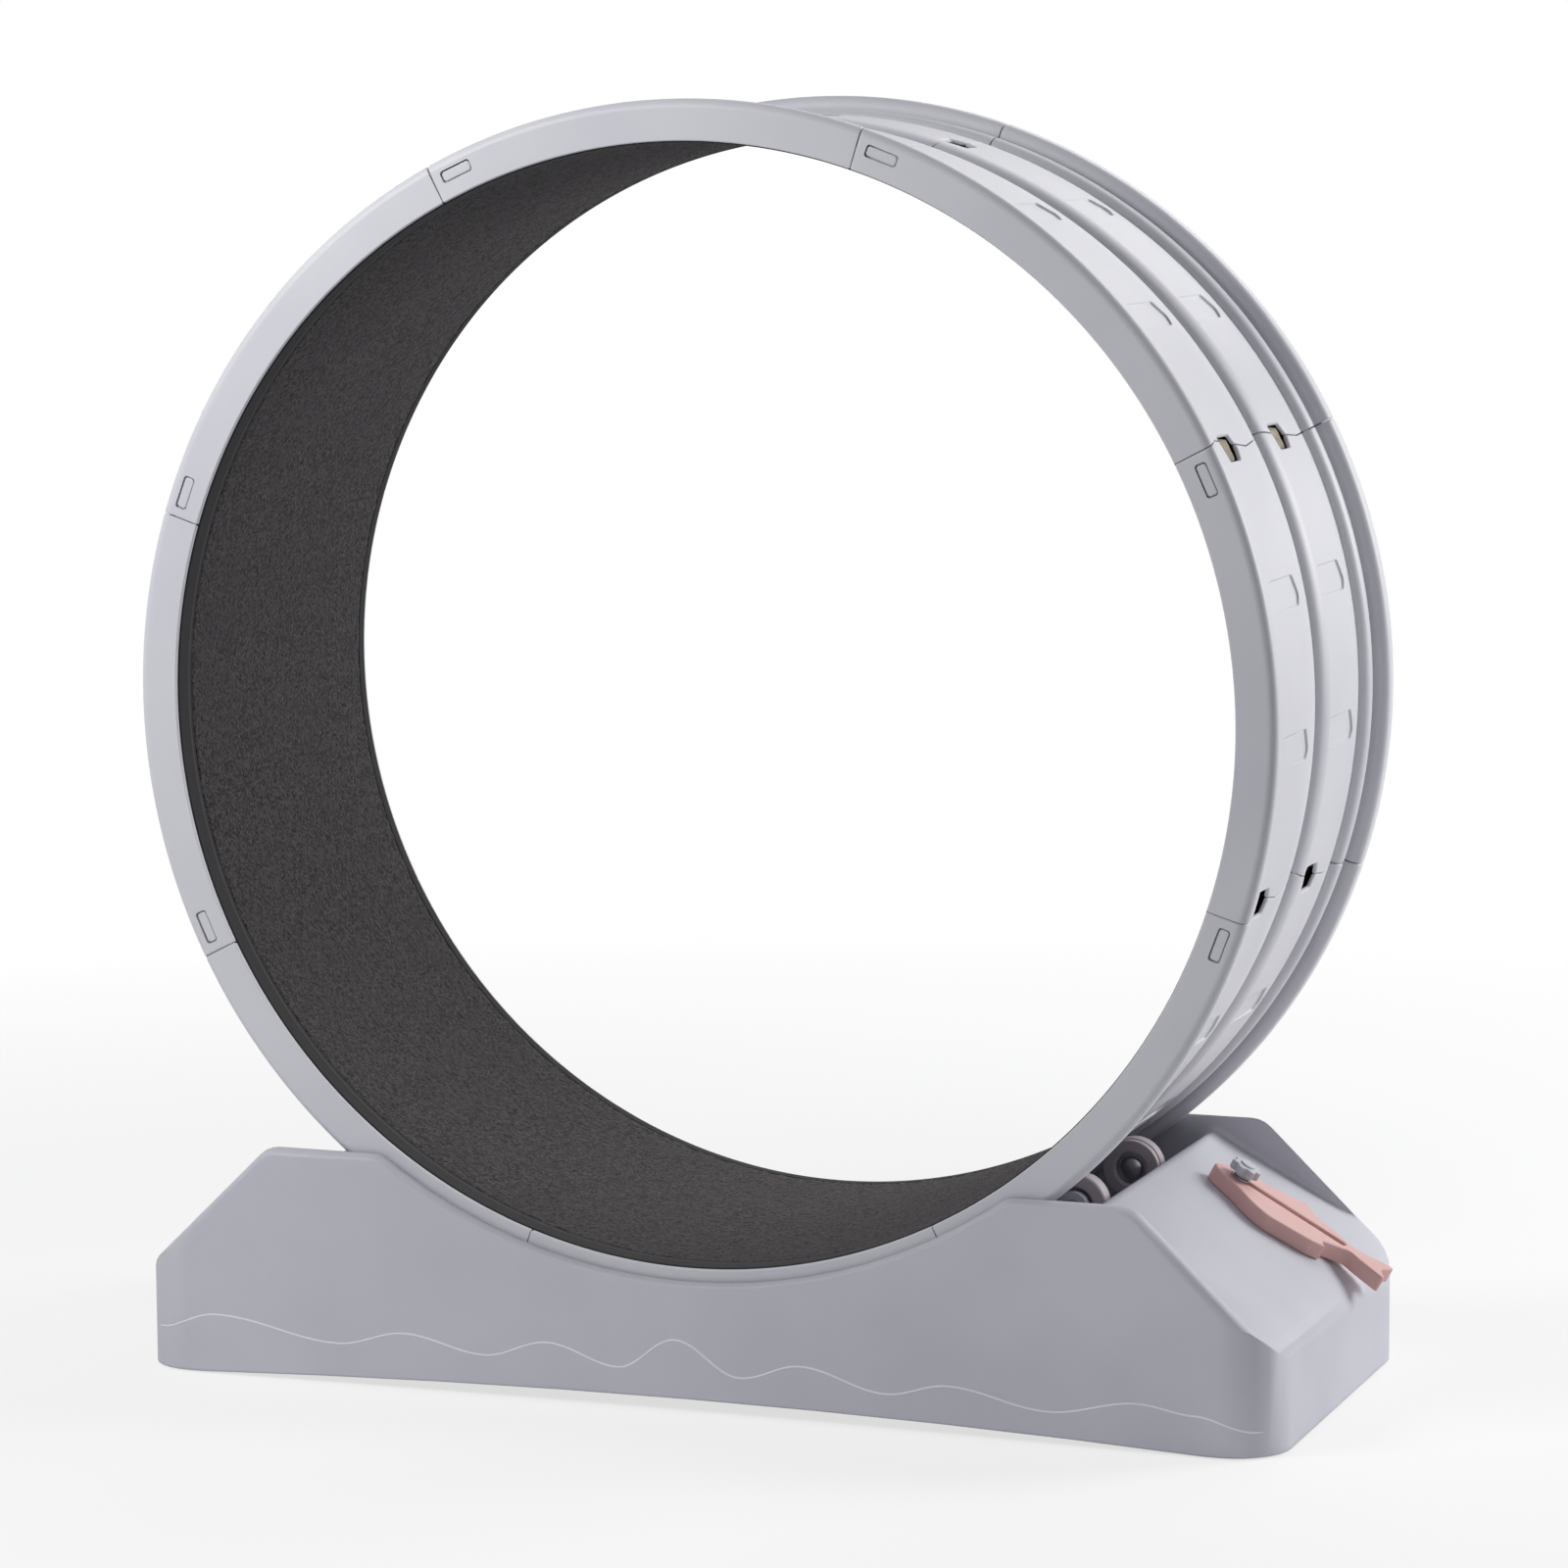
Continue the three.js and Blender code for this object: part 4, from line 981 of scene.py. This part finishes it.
def makeWasher():
    levels = softEdges(washer["foot"], washer["top"], washer["edge"], 2)
    points, faces = plate(roundAbout(washer["outer"]), [roundAbout(washer["hole"])], levels)
    return smoothed(newObject("knobWasher", onRamp(points), faces), 40)


fitted(makeFish(), "brake", fishPlastic, "fish_plastic", "brake_fish")
fitted(makeKnob(), "knob", knobPlastic, "knob_plastic", "knob_grip")
fitted(makeWasher(), "knob", steel, "steel", "knob_washer")
fitted(smoothed(nodeCopy("knob_screw", "knobScrew"), 40), "knob", steel, "steel", "knob_screw")
print("brake made")


# The studio, in metres and watts.
studio = dict(
    ambient=0.195,
    roomColour=(0.9, 0.92, 1.0, 1),
    floorRadius=2.4,
    floorSolid=0.9,  # radius within which the floor doesn't thin out
    floorSides=96,
    floorLift=0.7,  # how far the camera sees the floor lifted towards white
    lamps=[
        dict(name="key", place=(2.6, 1.8, 1.5), aim=(0, 0, 0.55), size=1.6, power=71),
        dict(name="upperLeft", place=(-1.0, -1.3, 1.6), aim=(0, 0, 0.55), size=1.0, power=21),
        dict(name="behind", place=(0.5, 2.6, 2.6), aim=(0, 0, 0.55), size=2.0, power=22),
    ],
)


# A round area lamp that the camera doesn't see.
def lamp(name, place, aim, size, power):
    data = bpy.data.lights.new(name, "AREA")
    data.shape = "DISK"
    data.size = size
    data.energy = power
    made = bpy.data.objects.new(name, data)
    made.location = place
    made.rotation_euler = (Vector(aim) - Vector(place)).to_track_quat("-Z", "Y").to_euler()
    made.visible_camera = False
    bpy.context.scene.collection.objects.link(made)


# A pale disc that thins out into the white backdrop. The camera sees it lifted, with its shadows.
def makeFloor():
    reach = studio["floorRadius"]
    turns = np.linspace(0, 2 * math.pi, studio["floorSides"], endpoint=False)
    points = np.column_stack([reach * np.cos(turns), reach * np.sin(turns), 0 * turns])
    floor = newObject("floor", points, [tuple(range(len(turns)))])
    finish = Finish("paleFloor", {"Roughness": 0.7, "Specular IOR Level": 0.15})
    distance = finish.node("ShaderNodeVectorMath", {"operation": "LENGTH"}, {0: finish.place}, "Value")
    share = finish.between(distance, studio["floorSolid"], reach * 0.98)
    finish.surface(Base_Color=finish.blended(finish.noise(900, 2), tone(249, 249, 250), tone(252, 252, 252)))
    seen = finish.node("ShaderNodeLightPath", output="Is Camera Ray")
    white = finish.node("ShaderNodeEmission", None, {"Color": (1, 1, 1, 1), "Strength": 1.0}, "Emission")
    bare = Wire(finish, finish.shader.outputs[0])
    lifted = finish.node("ShaderNodeMixShader", None, {0: seen * studio["floorLift"], 1: bare, 2: white})
    clear = finish.node("ShaderNodeBsdfTransparent", output="BSDF")
    mixed = finish.node("ShaderNodeMixShader", None, {0: share, 1: lifted, 2: clear})
    finish.tree.links.new(mixed.socket, finish.tree.nodes["Material Output"].inputs["Surface"])
    floor.data.materials.append(finish.material)


# Even light from the world. The camera and clear or glossy rays see it white.
def makeWorld():
    world = bpy.data.worlds.new("studioWorld")
    bpy.context.scene.world = world
    world.use_nodes = True
    tree = world.node_tree
    room = tree.nodes["Background"]
    room.inputs["Color"].default_value = studio["roomColour"]
    room.inputs["Strength"].default_value = studio["ambient"]
    white = tree.nodes.new("ShaderNodeBackground")
    white.inputs["Color"].default_value = (1, 1, 1, 1)
    path = tree.nodes.new("ShaderNodeLightPath")
    seen = path.outputs["Is Camera Ray"]
    for other in ("Is Glossy Ray", "Is Transmission Ray"):
        either = tree.nodes.new("ShaderNodeMath")
        either.operation = "MAXIMUM"
        tree.links.new(seen, either.inputs[0])
        tree.links.new(path.outputs[other], either.inputs[1])
        seen = either.outputs[0]
    mix = tree.nodes.new("ShaderNodeMixShader")
    tree.links.new(seen, mix.inputs[0])
    tree.links.new(room.outputs[0], mix.inputs[1])
    tree.links.new(white.outputs[0], mix.inputs[2])
    tree.links.new(mix.outputs[0], tree.nodes["World Output"].inputs["Surface"])


makeFloor()
makeWorld()
for each in studio["lamps"]:
    lamp(**each)
bpy.context.scene.view_settings.view_transform = "Standard"
print("studio made")
